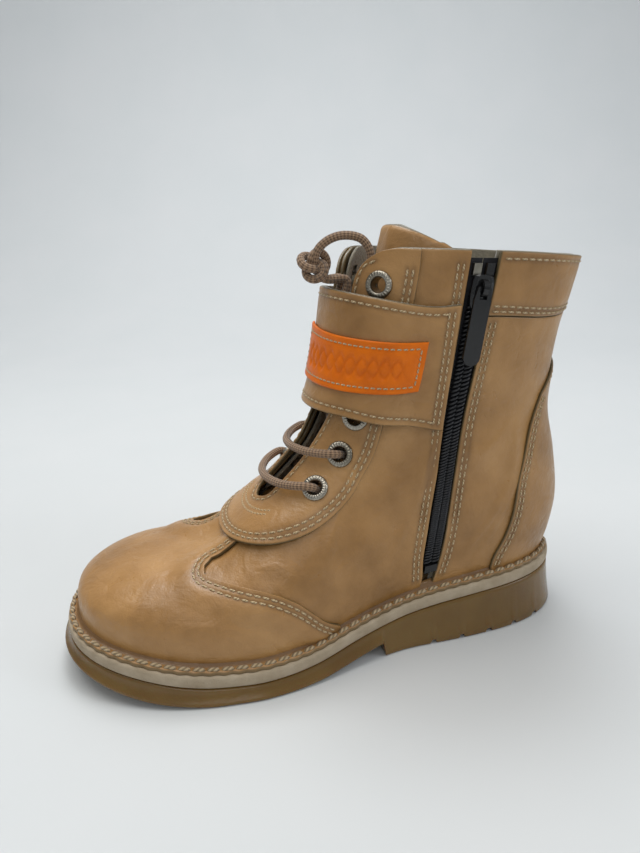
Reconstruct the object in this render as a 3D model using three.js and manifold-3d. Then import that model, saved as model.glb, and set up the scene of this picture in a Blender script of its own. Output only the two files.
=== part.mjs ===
// A child's right ankle boot: leather upper on a welt band and gum sole, six rows of eyelets with a round
// lace, a wide wrap strap and a zip on the inner (medial) side.
// Millimetres, +Z up, toe towards -Y, medial side towards +X, standing on the heel and the ball.
import * as THREE from 'three';
import Module from 'manifold-3d';

const wasm = await Module();
wasm.setup();

// ---------------------------------------------------------------- driving sizes
const GAP = 0.3; // clearance between pieces that touch
const BEND = 0.65; // room between layers that bend round the foot
const LAP = 0.85; // room under a piece that laps over another
const WELT_MARGIN = 4.1; // welt band beyond the feather line
const BAND = 4.6; // thickness of the welt band
const FLARE = 2.0; // how far the outsole's foot stands out beyond its top
const BREAST_Y = 10; // front face of the heel step
const GROOVE_DEPTH = 1.3;
const GROOVE_WIDTH = 2.6;
const GROOVE_Y = [30, 41.5, 53, 64.5, 75.5];
const LEATHER = 1.5; // upper leather
const OVERLAY = 1.2; // eyestay and heel piece
const LINING = 1.2;
const STIFFENER = 1.1; // heel stiffener and toe puff
const EYELET_HOLE = 2.5; // inner radius of the metal barrel
const EYELET_BARREL = 0.4; // wall of the barrel
const EYELET_FLANGE = 4.6; // outer radius of the ring
const EYELET_RING = 0.7; // thickness of the ring
const EYELET_A = 0.172; // place of the rows across the flap
const EYELET_T = [0.533, 0.605, 0.676, 0.762, 0.852, 0.94];
const LACE_R = 1.45;
const STRAP = 1.4;
const STRAP_LINING = 0.6;
const STRAP_LIFT = 3.8; // inner face of the strap over the laced front
const LABEL = 1.2;
const COIL = 1.7; // height of a zip coil half
const COIL_W = 2.9; // width of one coil half
const TAPE = 0.5; // zip tape
const TAPE_W = 9; // width of one zip tape
const SLIDER_W = 7.4;
const SLIDER_L = 10.5;
const TAB_L = 25;
const TAB_W = 5.8;

// height of the welt band's top along the foot
const FEATHER = [[-98, -78, -52, -22, 8, 38, 92], [18, 14.3, 10.4, 10.2, 15.5, 20.4, 23.4]];
// underside of the forepart, toe spring to waist
const SOLE_UNDER = [[-102, -78, -58, -44, -17, 10], [9.6, 3.2, 0.4, 0, 0.6, 5.4]];
// sideways shift of the foot's centre line
const CENTRE = [[-95, -80, -60, -40, -10, 20, 50, 95], [-3.5, -3, -1, 0.8, 1.5, 2, 2.4, 2.8]];
// half width, ridge height and roundness of the foot
const FOOT_W = [[-45, -34, -17, -2, 14, 30, 60], [35.8, 35.8, 33, 28.6, 25, 24, 23]];
const FOOT_H = [[-95, -70, -58, -50, -44, -36, -28, -20, -12, -4, 4, 12, 30],
  [36, 38.2, 38.4, 39.2, 41, 46.2, 53, 61.2, 69.9, 78.9, 87.2, 95, 107]];
const FOOT_N = [[-95, -60, -40, -15, 30], [2.8, 2.7, 2.35, 2, 1.9]];
// front, back and half width of the shaft by height
const SHAFT_F = [[15, 40, 60, 80, 100, 120, 140], [14, 10, 4, 0, 1.5, 4, 7]];
const SHAFT_B = [[15, 24, 34, 47, 65, 82, 98, 112, 120, 134, 142],
  [85, 87, 89.8, 91.2, 88.6, 84.8, 85.6, 87.4, 89.4, 92.8, 94.6]];
const SHAFT_W = [[15, 24, 45, 65, 85, 100, 120, 142], [21.5, 23.5, 26, 26.2, 26, 27, 28.5, 30]];

// ---------------------------------------------------------------- small maths
const clamp = (v, lo, hi) => Math.min(hi, Math.max(lo, v));
const lerp = (a, b, t) => a + (b - a) * t;
const smooth = (lo, hi, v) => {
  const s = clamp((v - lo) / (hi - lo), 0, 1);
  return s * s * (3 - 2 * s);
};

// a smooth curve through control values, flat beyond its ends
function curve(table, x) {
  const [xs, ys] = table;
  const last = xs.length - 1;
  const v = clamp(x, xs[0], xs[last]);
  let i = 0;
  while (i < last - 1 && v > xs[i + 1]) i += 1;
  const slope = (k) => {
    const lo = Math.max(0, k - 1);
    const hi = Math.min(last, k + 1);
    return (ys[hi] - ys[lo]) / (xs[hi] - xs[lo]);
  };
  const h = xs[i + 1] - xs[i];
  const t = (v - xs[i]) / h;
  const t2 = t * t;
  const t3 = t2 * t;
  return (2 * t3 - 3 * t2 + 1) * ys[i] + (t3 - 2 * t2 + t) * h * slope(i)
    + (3 * t2 - 2 * t3) * ys[i + 1] + (t3 - t2) * h * slope(i + 1);
}

const feather = (y) => curve(FEATHER, y);

// a smooth path through points of the surface, given as [t, a], at share s of its length
function railOf(points) {
  const path = new THREE.CatmullRomCurve3(points.map(([t, a]) => new THREE.Vector3(t * 120, a * 130, 0)),
    false, 'centripetal');
  path.arcLengthDivisions = 120;
  return (s) => {
    const p = path.getPointAt(clamp(s, 0, 1));
    return [p.x / 120, p.y / 130];
  };
}

// ---------------------------------------------------------------- the boot's body
// Signed field of the foot, x measured from the centre line: negative inside.
function footField(x, y, z) {
  const q = y < -45 ? (-45 - y) / 48.9 : Math.max(0, (y - 8) / 54);
  const rise = clamp((z - feather(y)) / 8, 0, 1);
  const w = curve(FOOT_W, y) + 1.6 * rise * (2 - rise);
  const z0 = feather(y) + 7;
  const n = curve(FOOT_N, y);
  const plan = (Math.abs(x) / w) ** 2.3 + q ** 2.3;
  const up = z > z0 ? (z - z0) / Math.max(curve(FOOT_H, y) - z0, 5) : 0;
  return 26 * ((plan ** (n / 2.3) + up ** n) ** (1 / n) - 1);
}

function shaftField(x, y, z) {
  const front = curve(SHAFT_F, z);
  const back = curve(SHAFT_B, z);
  const mid = (front + back) / 2;
  const half = (back - front) / 2;
  return 28 * (((Math.abs(x) / curve(SHAFT_W, z)) ** 2.25 + (Math.abs(y - mid) / half) ** 2.25) ** (1 / 2.25) - 1);
}

function bodyField(x, y, z) {
  const foot = footField(x, y, z);
  const shaft = shaftField(x, y, z);
  const h = clamp(0.5 + (shaft - foot) / 22, 0, 1);
  return lerp(shaft, foot, h) - 11 * h * (1 - h);
}

// distance from a point inside the body to its skin, along a direction
function reach(x, y, z, dx, dy, dz, far) {
  let lo = 0;
  let hi = far;
  for (let k = 0; k < 34; k += 1) {
    const mid = (lo + hi) / 2;
    if (bodyField(x + dx * mid, y + dy * mid, z + dz * mid) < 0) lo = mid;
    else hi = mid;
  }
  return lo;
}

// where the front profile is looked for: origin y, origin z and angle, by t
const FRONT_Y = [[0, 0.25, 0.5, 0.75, 1], [-60, -52, -10, 35, 50]];
const FRONT_Z = [[0, 0.25, 0.5, 0.75, 1], [19, 24, 38, 85, 140]];
const FRONT_ANGLE = [[0, 0.25, 0.5, 0.75, 1], [180, 112, 132, 160, 180]];
const BACK_LOW = 24;
const BACK_HIGH = 136;
const ROWS = 120; // rings from feather line to collar
const COLS = 120; // places from front centre to back centre
const RAYS = 200;

// Rings round one half of the body: t = 0 at the feather line, 1 at the collar.
function makeRings() {
  const rings = [];
  for (let i = 0; i <= ROWS; i += 1) {
    const t = i / ROWS;
    const oy = curve(FRONT_Y, t);
    const oz = curve(FRONT_Z, t);
    const angle = curve(FRONT_ANGLE, t) * Math.PI / 180;
    const r = reach(0, oy, oz, 0, Math.cos(angle), Math.sin(angle), 120);
    const fy = oy + r * Math.cos(angle);
    const fz = oz + r * Math.sin(angle);
    const bz = lerp(BACK_LOW, BACK_HIGH, t);
    const by = 45 + reach(0, 45, bz, 0, 1, 0, 120);
    const height = (y) => {
      const u = (y - fy) / (by - fy);
      const ease = (1 - t) ** 2;
      return lerp(fz, bz, u) + ease * (feather(y) - lerp(feather(fy), feather(by), u));
    };
    const mid = (fy + by) / 2;
    const raw = [];
    for (let j = 0; j <= RAYS; j += 1) {
      const th = Math.PI * j / RAYS;
      let lo = 0;
      let hi = 140;
      for (let k = 0; k < 30; k += 1) {
        const m = (lo + hi) / 2;
        const y = mid - m * Math.cos(th);
        if (bodyField(m * Math.sin(th), y, height(y)) < 0) lo = m;
        else hi = m;
      }
      const y = mid - lo * Math.cos(th);
      raw.push([lo * Math.sin(th), y, height(y)]);
    }
    const run = [0];
    for (let j = 1; j <= RAYS; j += 1) {
      const [p, q] = [raw[j - 1], raw[j]];
      run.push(run[j - 1] + Math.hypot(q[0] - p[0], q[1] - p[1], q[2] - p[2]));
    }
    const ring = [];
    let k = 0;
    for (let j = 0; j <= COLS; j += 1) {
      const want = run[RAYS] * j / COLS;
      while (k < RAYS - 1 && run[k + 1] < want) k += 1;
      const u = (want - run[k]) / (run[k + 1] - run[k]);
      ring.push([0, 1, 2].map((c) => lerp(raw[k][c], raw[k + 1][c], u)));
    }
    ring.length_mm = run[RAYS];
    rings.push(ring);
  }
  return rings;
}

const RINGS = makeRings();
const halfRing = (t) => {
  const i = clamp(Math.round(t * ROWS), 0, ROWS);
  return RINGS[i].length_mm;
};

function gridPoint(t, u) {
  const ti = clamp(t, 0, 1) * ROWS;
  const ui = clamp(u, 0, 1) * COLS;
  const i = Math.min(ROWS - 1, Math.floor(ti));
  const j = Math.min(COLS - 1, Math.floor(ui));
  const ft = ti - i;
  const fu = ui - j;
  return [0, 1, 2].map((c) => lerp(
    lerp(RINGS[i][j][c], RINGS[i][j + 1][c], fu),
    lerp(RINGS[i + 1][j][c], RINGS[i + 1][j + 1][c], fu),
    ft,
  ));
}

// A point of the skin. a runs from 0 at the front centre to 1 at the back centre on the medial side, and to
// -1 on the lateral side; beyond 1 it comes round to the other side.
function skin(t, a) {
  let b = a;
  if (b > 1) b -= 2;
  if (b < -1) b += 2;
  const side = b < 0 ? -1 : 1;
  const p = gridPoint(t, Math.abs(b));
  if (t > 1) {
    const q = gridPoint(0.95, Math.abs(b));
    for (let c = 0; c < 3; c += 1) p[c] += (p[c] - q[c]) * (t - 1) / 0.05;
  }
  return new THREE.Vector3(side * p[0] + curve(CENTRE, p[1]), p[1], p[2]);
}

const worldField = (p) => bodyField(p.x - curve(CENTRE, p.y), p.y, p.z);

function normalAt(p) {
  const e = 0.25;
  const n = new THREE.Vector3();
  for (const c of ['x', 'y', 'z']) {
    const hi = p.clone();
    const lo = p.clone();
    hi[c] += e;
    lo[c] -= e;
    n[c] = worldField(hi) - worldField(lo);
  }
  return n.normalize();
}

// a point at height d above the skin
function above(t, a, d) {
  const p = skin(t, a);
  return p.addScaledVector(normalAt(p), d);
}

// share of the half ring that mm takes up at t
const share = (t, mm) => mm / halfRing(t);

// ---------------------------------------------------------------- solids
const meshes = [];

function material(color, roughness, metalness = 0) {
  return new THREE.MeshStandardMaterial({ color, roughness, metalness, side: THREE.DoubleSide });
}

const TAN = material(0xb98d5f, 0.55);
const TAN_DARK = material(0x9c7348, 0.6);
const FELT = material(0x6f6750, 0.95);
const GUM = material(0x8a6d3a, 0.45);
const WELT = material(0x9c8768, 0.8);
const BOARD = material(0xb59a74, 0.9);
const STEEL = material(0x9a9a98, 0.35, 1);
const NICKEL = material(0x8f8a82, 0.35, 1);
const CORD = material(0x94795f, 0.9);
const ORANGE = material(0xd06a12, 0.5);
const BLACK = material(0x15151a, 0.6);
const FOAM = material(0xd8cfae, 0.95);

function geometryOf(vertices, faces) {
  let volume = 0;
  for (const [i, j, k] of faces) {
    const [p, q, r] = [vertices[i], vertices[j], vertices[k]];
    volume += p.dot(q.clone().cross(r));
  }
  const flip = volume < 0;
  const g = new THREE.BufferGeometry();
  g.setAttribute('position', new THREE.Float32BufferAttribute(vertices.flatMap((v) => [v.x, v.y, v.z]), 3));
  g.setIndex(faces.flatMap(([i, j, k]) => (flip ? [i, k, j] : [i, j, k])));
  return g;
}

function addMesh(name, geometry, mat) {
  const g = geometry;
  g.computeVertexNormals();
  const mesh = new THREE.Mesh(g, mat);
  mesh.name = name;
  meshes.push(mesh);
  return mesh;
}

// Closes two matching grids of points, outer and inner, into one solid sheet.
function sheetGeometry(outer, inner) {
  const nv = outer.length;
  const nu = outer[0].length;
  const vertices = [...outer.flat(), ...inner.flat()];
  const top = (v, u) => v * nu + u;
  const low = (v, u) => nv * nu + v * nu + u;
  const faces = [];
  const quad = (a, b, c, d) => faces.push([a, b, c], [a, c, d]);
  for (let v = 0; v < nv - 1; v += 1) {
    for (let u = 0; u < nu - 1; u += 1) {
      quad(top(v, u), top(v, u + 1), top(v + 1, u + 1), top(v + 1, u));
      quad(low(v, u), low(v + 1, u), low(v + 1, u + 1), low(v, u + 1));
    }
  }
  for (let u = 0; u < nu - 1; u += 1) {
    quad(top(0, u), low(0, u), low(0, u + 1), top(0, u + 1));
    quad(top(nv - 1, u), top(nv - 1, u + 1), low(nv - 1, u + 1), low(nv - 1, u));
  }
  for (let v = 0; v < nv - 1; v += 1) {
    quad(top(v, 0), top(v + 1, 0), low(v + 1, 0), low(v, 0));
    quad(top(v, nu - 1), low(v, nu - 1), low(v + 1, nu - 1), top(v + 1, nu - 1));
  }
  return geometryOf(vertices, faces);
}

// A solid swept along a list of cross-sections with the same number of points each.
function loftGeometry(sections) {
  const n = sections[0].length;
  const m = sections.length;
  const vertices = sections.flat();
  const faces = [];
  for (let i = 0; i < m - 1; i += 1) {
    for (let j = 0; j < n; j += 1) {
      const k = (j + 1) % n;
      faces.push([i * n + j, i * n + k, (i + 1) * n + k], [i * n + j, (i + 1) * n + k, (i + 1) * n + j]);
    }
  }
  const centre = (section) => {
    const c = new THREE.Vector3();
    for (const p of section) c.add(p);
    return c.multiplyScalar(1 / n);
  };
  const first = vertices.push(centre(sections[0])) - 1;
  const last = vertices.push(centre(sections[m - 1])) - 1;
  for (let j = 0; j < n; j += 1) {
    const k = (j + 1) % n;
    faces.push([first, k, j], [last, (m - 1) * n + j, (m - 1) * n + k]);
  }
  return geometryOf(vertices, faces);
}

function toManifold(geometry) {
  const flat = geometry.index ? geometry : geometry.clone();
  return new wasm.Manifold(new wasm.Mesh({
    numProp: 3,
    vertProperties: Float32Array.from(flat.attributes.position.array),
    triVerts: Uint32Array.from(flat.index.array),
  }));
}

function fromManifold(solid) {
  const out = solid.getMesh();
  const g = new THREE.BufferGeometry();
  const step = out.numProp;
  const points = [];
  for (let i = 0; i < out.vertProperties.length; i += step) points.push(...out.vertProperties.slice(i, i + 3));
  g.setAttribute('position', new THREE.Float32BufferAttribute(points, 3));
  g.setIndex(Array.from(out.triVerts));
  return g;
}

// A piece that follows the skin. place(u, v) gives [t, a]; low and high give its two faces above the skin.
// With a flange, its bottom edge turns out and lies on the welt band.
function shell({ place, nu, nv, low, high, flange = null, us, vs }) {
  const outer = [];
  const inner = [];
  const ulist = us || Array.from({ length: nu + 1 }, (_, i) => i / nu);
  const vlist = vs || Array.from({ length: nv + 1 }, (_, i) => i / nv);
  const floor = (p, up) => {
    const z = feather(p.y) + up;
    if (p.z < z) p.setZ(z);
    return p;
  };
  for (const v of vlist) {
    const rowOut = [];
    const rowIn = [];
    for (const u of ulist) {
      const [t, a] = place(u, v);
      const p = skin(t, a);
      const n = normalAt(p);
      const lift = flange ? 0.9 : 0;
      rowOut.push(floor(p.clone().addScaledVector(n, high(t, a)), GAP + lift));
      rowIn.push(floor(p.clone().addScaledVector(n, low(t, a)), GAP));
    }
    outer.push(rowOut);
    inner.push(rowIn);
  }
  if (flange) {
    const rows = [[], [], [], []];
    for (const u of ulist) {
      const [, a] = place(u, 0);
      const p = skin(0, a);
      const n = normalAt(p).setZ(0).normalize();
      const at = (d, up) => {
        const q = p.clone().addScaledVector(n, d);
        return q.setZ(feather(q.y) + GAP + up);
      };
      const [hi, lo, far] = [high(0, a), low(0, a), flange(a)];
      const lies = far > hi;
      rows[0].push(lies ? at(far, LEATHER - 0.3) : at(hi, 0.1));
      rows[1].push(lies ? at(hi + 0.35, LEATHER) : at(hi, 0.5));
      rows[2].push(lies ? at(far, 0) : at(lo, 0));
      rows[3].push(lies ? at(hi - 0.6, 0) : at(lo, 0.25));
    }
    outer[0] = outer[0].map((p) => p.setZ(Math.max(p.z, feather(p.y) + GAP + LEATHER + 0.9)));
    outer.unshift(rows[0], rows[1]);
    inner.unshift(rows[2], rows[3]);
  }
  return sheetGeometry(outer, inner);
}

const flat = (d) => () => d;
const FULL_FLANGE = () => WELT_MARGIN - 0.5;
// the quarters' flange stops where the heel piece's begins
const QUARTER_FLANGE = (a) => (Math.abs(a) < 0.775 ? WELT_MARGIN - 0.5 : -9);

// ---------------------------------------------------------------- seam lines on the skin, as [t, a]
const lineAt = (points, t) => {
  const sorted = [...points].sort((p, q) => p[0] - q[0]);
  return curve([sorted.map((p) => p[0]), sorted.map((p) => p[1])], t);
};
// zip track: its centre line is straight in the side view, and the leather edges stand off it
const ZIP_FOOT_Y = 26.2; // where the line would meet the floor
const ZIP_LEAN = 0.126; // mm back per mm up
// room between the coil's side and the leather edge; the edges close over the coil's foot
const ZIP_ROOM = [[0, -0.7], [0.03, -0.5], [0.1, 0.6], [0.3, 0.7], [0.5, 0.7], [0.7, 1.1], [0.9, 1.7], [1, 2.05]];
const zipOpen = (t) => COIL_W + lineAt(ZIP_ROOM, t);
const zipTs = Array.from({ length: 41 }, (_, i) => i / 40);
const zipAs = zipTs.map((t) => {
  let [front, rear] = [0.3, 0.7];
  for (let i = 0; i < 24; i += 1) {
    const a = (front + rear) / 2;
    const p = skin(t, a);
    if (p.y < ZIP_FOOT_Y + ZIP_LEAN * p.z) front = a;
    else rear = a;
  }
  return front;
});
const zipMid = (t) => curve([zipTs, zipAs], clamp(t, 0, 1));
const zipFront = (t) => zipMid(t) - share(clamp(t, 0, 1), zipOpen(clamp(t, 0, 1)));
const zipRear = (t) => zipMid(t) + share(clamp(t, 0, 1), zipOpen(clamp(t, 0, 1)));

// upper edge of the toe piece's wings, from the apron down to the welt
const WING = [[0.42, 0.092], [0.36, 0.09], [0.3, 0.092], [0.25, 0.108], [0.215, 0.132], [0.19, 0.165],
  [0.18, 0.21], [0.172, 0.26], [0.142, 0.325], [0.105, 0.385], [0.06, 0.45], [0, 0.512]];
// front edge of the quarters, hidden under the wings and the eyestay
const QUARTER_FRONT = [[0, 0.516], [0.03, 0.472], [0.06, 0.412], [0.095, 0.345], [0.122, 0.28], [0.14, 0.21],
  [0.165, 0.15], [0.21, 0.1], [0.28, 0.07], [0.36, 0.064], [0.44, 0.056], [0.5, 0.056], [0.56, 0.064],
  [0.62, 0.07], [0.7, 0.092], [0.8, 0.09], [0.9, 0.09], [0.955, 0.098], [0.985, 0.122], [1, 0.175]];
const EYESTAY_INNER = [[1.0, 0.165], [0.985, 0.112], [0.955, 0.088], [0.9, 0.08], [0.8, 0.08], [0.7, 0.082],
  [0.62, 0.06], [0.56, 0.054], [0.51, 0.044], [0.495, 0.02], [0.49, 0]];
const EYESTAY_OUTER = [[1.0, 0.27], [0.95, 0.274], [0.85, 0.27], [0.75, 0.266], [0.65, 0.262], [0.56, 0.286],
  [0.48, 0.3], [0.42, 0.265], [0.392, 0.2], [0.38, 0.11], [0.372, 0]];
const COUNTER_EDGE = [[0, 0.794], [0.1, 0.785], [0.2, 0.77], [0.3, 0.765], [0.4, 0.77], [0.5, 0.785],
  [0.6, 0.81]];
const COLLAR_SEAM_T = (a) => 0.868 - 0.03 * smooth(0.45, 0.8, Math.abs(a > 1 ? a - 2 : a));

// top line of the collar: a little higher over the shaft's middle than at its front corner and back
const topT = (a) => {
  const b = Math.abs(a > 1 ? a - 2 : a);
  return 0.992 + 0.02 * smooth(0.08, 0.22, b) - 0.008 * smooth(0.5, 0.9, b);
};

// how far a point of the skin lies from a line on it, in mm
function distanceTo(line, t, a) {
  const p = skin(t, a);
  let best = 1e9;
  for (const q of line) best = Math.min(best, p.distanceTo(q));
  return best;
}
const wingRail = railOf(WING);
const WING_POINTS = Array.from({ length: 121 }, (_, i) => {
  const [t, a] = wingRail(i / 120);
  return skin(t, a);
});
const WING_POINTS_LATERAL = WING_POINTS.map((_, i) => {
  const [t, a] = wingRail(i / 120);
  return skin(t, -a);
});
const wingDistance = (t, a) => Math.min(distanceTo(WING_POINTS, t, a), distanceTo(WING_POINTS_LATERAL, t, a));

// The lining lies deeper where a stiffener or a zip tape runs above it.
const liningTop = (t, a) => {
  const b = Math.abs(a > 1 ? a - 2 : a);
  const heel = smooth(0.58, 0.68, b) * (1 - smooth(0.56, 0.68, t));
  const medial = a > 0 && a < 1 ? Math.abs(a - zipMid(clamp(t, 0, 1))) * halfRing(t) : 99;
  const zip = 1 - smooth(TAPE_W + 2.5, TAPE_W + 7, medial);
  return -LEATHER - BEND - Math.max(heel * (STIFFENER + BEND), zip * (TAPE + GAP));
};

// ---------------------------------------------------------------- sole
const OUTLINE_N = 160;
const outline = [];
for (let i = 0; i < OUTLINE_N; i += 1) {
  const a = -1 + 2 * i / OUTLINE_N;
  const p = skin(0, a);
  const n = normalAt(p).setZ(0).normalize();
  outline.push(p.clone().addScaledVector(n, WELT_MARGIN).setZ(0));
}

function outlineEdge(side, inset) {
  const n = outline.length;
  const pts = [];
  for (let i = 0; i < n; i += 1) {
    const prev = outline[(i + n - 1) % n];
    const next = outline[(i + 1) % n];
    const tangent = next.clone().sub(prev).normalize();
    pts.push(new THREE.Vector3(outline[i].x + tangent.y * -inset, outline[i].y + tangent.x * inset, 0));
  }
  let tip = 0;
  let tail = 0;
  for (let i = 1; i < n; i += 1) {
    if (pts[i].y < pts[tip].y) tip = i;
    if (pts[i].y > pts[tail].y) tail = i;
  }
  const branch = [];
  let i = tip;
  while (true) {
    branch.push(pts[i]);
    if (i === tail) break;
    i = (i + side + n) % n;
  }
  return branch;
}

// A plate between two stations lists: its plan is the welt outline moved in by an inset, top and bottom each
// with their own inset and height.
function plate({ stations, insetTop, insetLow, top, low }) {
  const make = (inset) => {
    const right = outlineEdge(1, inset);
    const left = outlineEdge(-1, inset);
    const y0 = right[0].y;
    const y1 = right[right.length - 1].y;
    const xAt = (branch, y) => {
      for (let k = 1; k < branch.length; k += 1) {
        if (branch[k].y >= y) {
          const u = (y - branch[k - 1].y) / Math.max(1e-9, branch[k].y - branch[k - 1].y);
          return lerp(branch[k - 1].x, branch[k].x, clamp(u, 0, 1));
        }
      }
      return branch[branch.length - 1].x;
    };
    return (y) => {
      const v = clamp(y, y0 + 0.02, y1 - 0.02);
      return [xAt(left, v), xAt(right, v), v];
    };
  };
  const edgeTop = make(insetTop);
  const edgeLow = make(insetLow);
  const sections = stations.map(([yTop, yLow]) => {
    const [lt, rt, vt] = edgeTop(yTop);
    const [ll, rl, vl] = edgeLow(yLow);
    return [
      new THREE.Vector3(Math.min(lt, rt) - 1e-3, vt, top(vt)),
      new THREE.Vector3(Math.max(lt, rt) + 1e-3, vt, top(vt)),
      new THREE.Vector3(Math.max(ll, rl) + 1e-3, vl, low(vl, yLow)),
      new THREE.Vector3(Math.min(ll, rl) - 1e-3, vl, low(vl, yLow)),
    ];
  });
  return loftGeometry(sections);
}

const ySpan = (inset) => {
  const e = outlineEdge(1, inset);
  return [e[0].y, e[e.length - 1].y];
};

function roundStations(y0, y1, n) {
  return Array.from({ length: n + 1 }, (_, i) => lerp(y0, y1, (1 - Math.cos(Math.PI * i / n)) / 2));
}

// the steel shank, or (grown, and open to the top) the pocket it lies in
function shankGeometry(grow, topUp) {
  const sections = [];
  for (let i = 0; i <= 16; i += 1) {
    const y = lerp(-24 - grow, 46 + grow, i / 16);
    const half = 6.5 + grow;
    const x0 = curve(CENTRE, y);
    const topZ = feather(y) + topUp;
    const lowZ = feather(y) - 1.7 - grow;
    sections.push([
      new THREE.Vector3(x0 - half, y, topZ),
      new THREE.Vector3(x0 + half, y, topZ),
      new THREE.Vector3(x0 + half, y, lowZ),
      new THREE.Vector3(x0 - half, y, lowZ),
    ]);
  }
  return loftGeometry(sections);
}

// welt band, with the pocket for the shank in its top
{
  const [y0, y1] = ySpan(0);
  const band = plate({
    stations: roundStations(y0, y1, 44).map((y) => [y, y]),
    insetTop: 0,
    insetLow: 0,
    top: feather,
    low: (y) => feather(y) - BAND,
  });
  const cut = toManifold(band).subtract(toManifold(shankGeometry(GAP, 3)));
  addMesh('midsole_welt_band', fromManifold(cut), WELT);
  addMesh('shank', shankGeometry(0, 0), STEEL);
}

// gum outsole: thin forepart with toe spring, heel step with grooves across its underside
{
  const [t0, t1] = ySpan(0);
  const [l0, l1] = ySpan(-FLARE);
  const even = roundStations(0, 1, 44).map((s) => [lerp(t0, t1, s), lerp(l0, l1, s)]);
  const extra = [BREAST_Y - 0.3, BREAST_Y + 0.3];
  for (const g of GROOVE_Y) {
    for (const d of [-0.5, -0.32, 0.32, 0.5]) extra.push(g + d * GROOVE_WIDTH);
  }
  const pairs = even.filter(([, y]) => extra.every((e) => Math.abs(e - y) > 1.0));
  for (const e of extra) pairs.push([e, e]);
  pairs.sort((p, q) => p[1] - q[1]);
  const under = (y) => {
    if (y < BREAST_Y) return Math.max(0, curve(SOLE_UNDER, y));
    for (const g of GROOVE_Y) if (Math.abs(y - g) < 0.4 * GROOVE_WIDTH) return GROOVE_DEPTH;
    return 0;
  };
  addMesh('outsole', plate({
    stations: pairs,
    insetTop: 0,
    insetLow: -FLARE,
    top: (y) => feather(y) - BAND - GAP,
    low: under,
  }), GUM);
}

// insole board and footbed, inside the linings
const LINING_DEEPEST = LEATHER + 2 * BEND + STIFFENER + LINING;
{
  const boardInset = WELT_MARGIN + LINING_DEEPEST + GAP + 0.9;
  const bedInset = boardInset + 0.3;
  const ofInset = (inset, up, thick) => {
    const [y0, y1] = ySpan(inset);
    return plate({
      stations: roundStations(y0, y1, 30).map((y) => [y, y]),
      insetTop: inset,
      insetLow: inset,
      top: (y) => feather(y) + up + thick,
      low: (y) => feather(y) + up,
    });
  };
  addMesh('insole_board', ofInset(boardInset, GAP, 1.8), BOARD);
  addMesh('footbed', ofInset(bedInset, GAP + 1.8 + GAP, 3), TAN_DARK);
}

// ---------------------------------------------------------------- upper
// toe piece: a central strip under the apron and two wings that lap over the quarters
const VAMP_HALF = [
  [0, 0.418, 0], [0.045, 0.42, 0.045], [0.085, 0.42, 0.086], [0.105, 0.34, 0.09], [0.12, 0.28, 0.098],
  [0.138, 0.232, 0.122], [0.162, 0.197, 0.152], [0.19, 0.184, 0.188], [0.22, 0.18, 0.22], [0.25, 0.174, 0.25],
  [0.285, 0.162, 0.285], [0.325, 0.142, 0.325], [0.385, 0.105, 0.385], [0.45, 0.06, 0.45], [0.49, 0.03, 0.488],
  [0.505, 0.016, 0.502],
];
{
  const us = [];
  for (let i = VAMP_HALF.length - 1; i > 0; i -= 1) us.push([-1, i]);
  for (let i = 0; i < VAMP_HALF.length; i += 1) us.push([1, i]);
  const cols = us.map(([side, i]) => {
    const [aLow, tHigh, aHigh] = VAMP_HALF[i];
    return [side * aLow, tHigh, side * aHigh];
  });
  const raise = (t, a) => (LEATHER + LAP) * (1 - smooth(10, 14.5, wingDistance(t, a)));
  const place = (u, v) => {
    const [aLow, tHigh, aHigh] = cols[u];
    return [tHigh * v, lerp(aLow, aHigh, v ** 1.2)];
  };
  addMesh('vamp', shell({
    place,
    us: cols.map((_, i) => i),
    vs: [0.06, 0.13, 0.21, 0.3, 0.4, 0.51, 0.63, 0.75, 0.88, 1],
    low: (t, a) => -LEATHER + raise(t, a),
    high: (t, a) => raise(t, a),
    flange: FULL_FLANGE,
  }), TAN);
}

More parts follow.
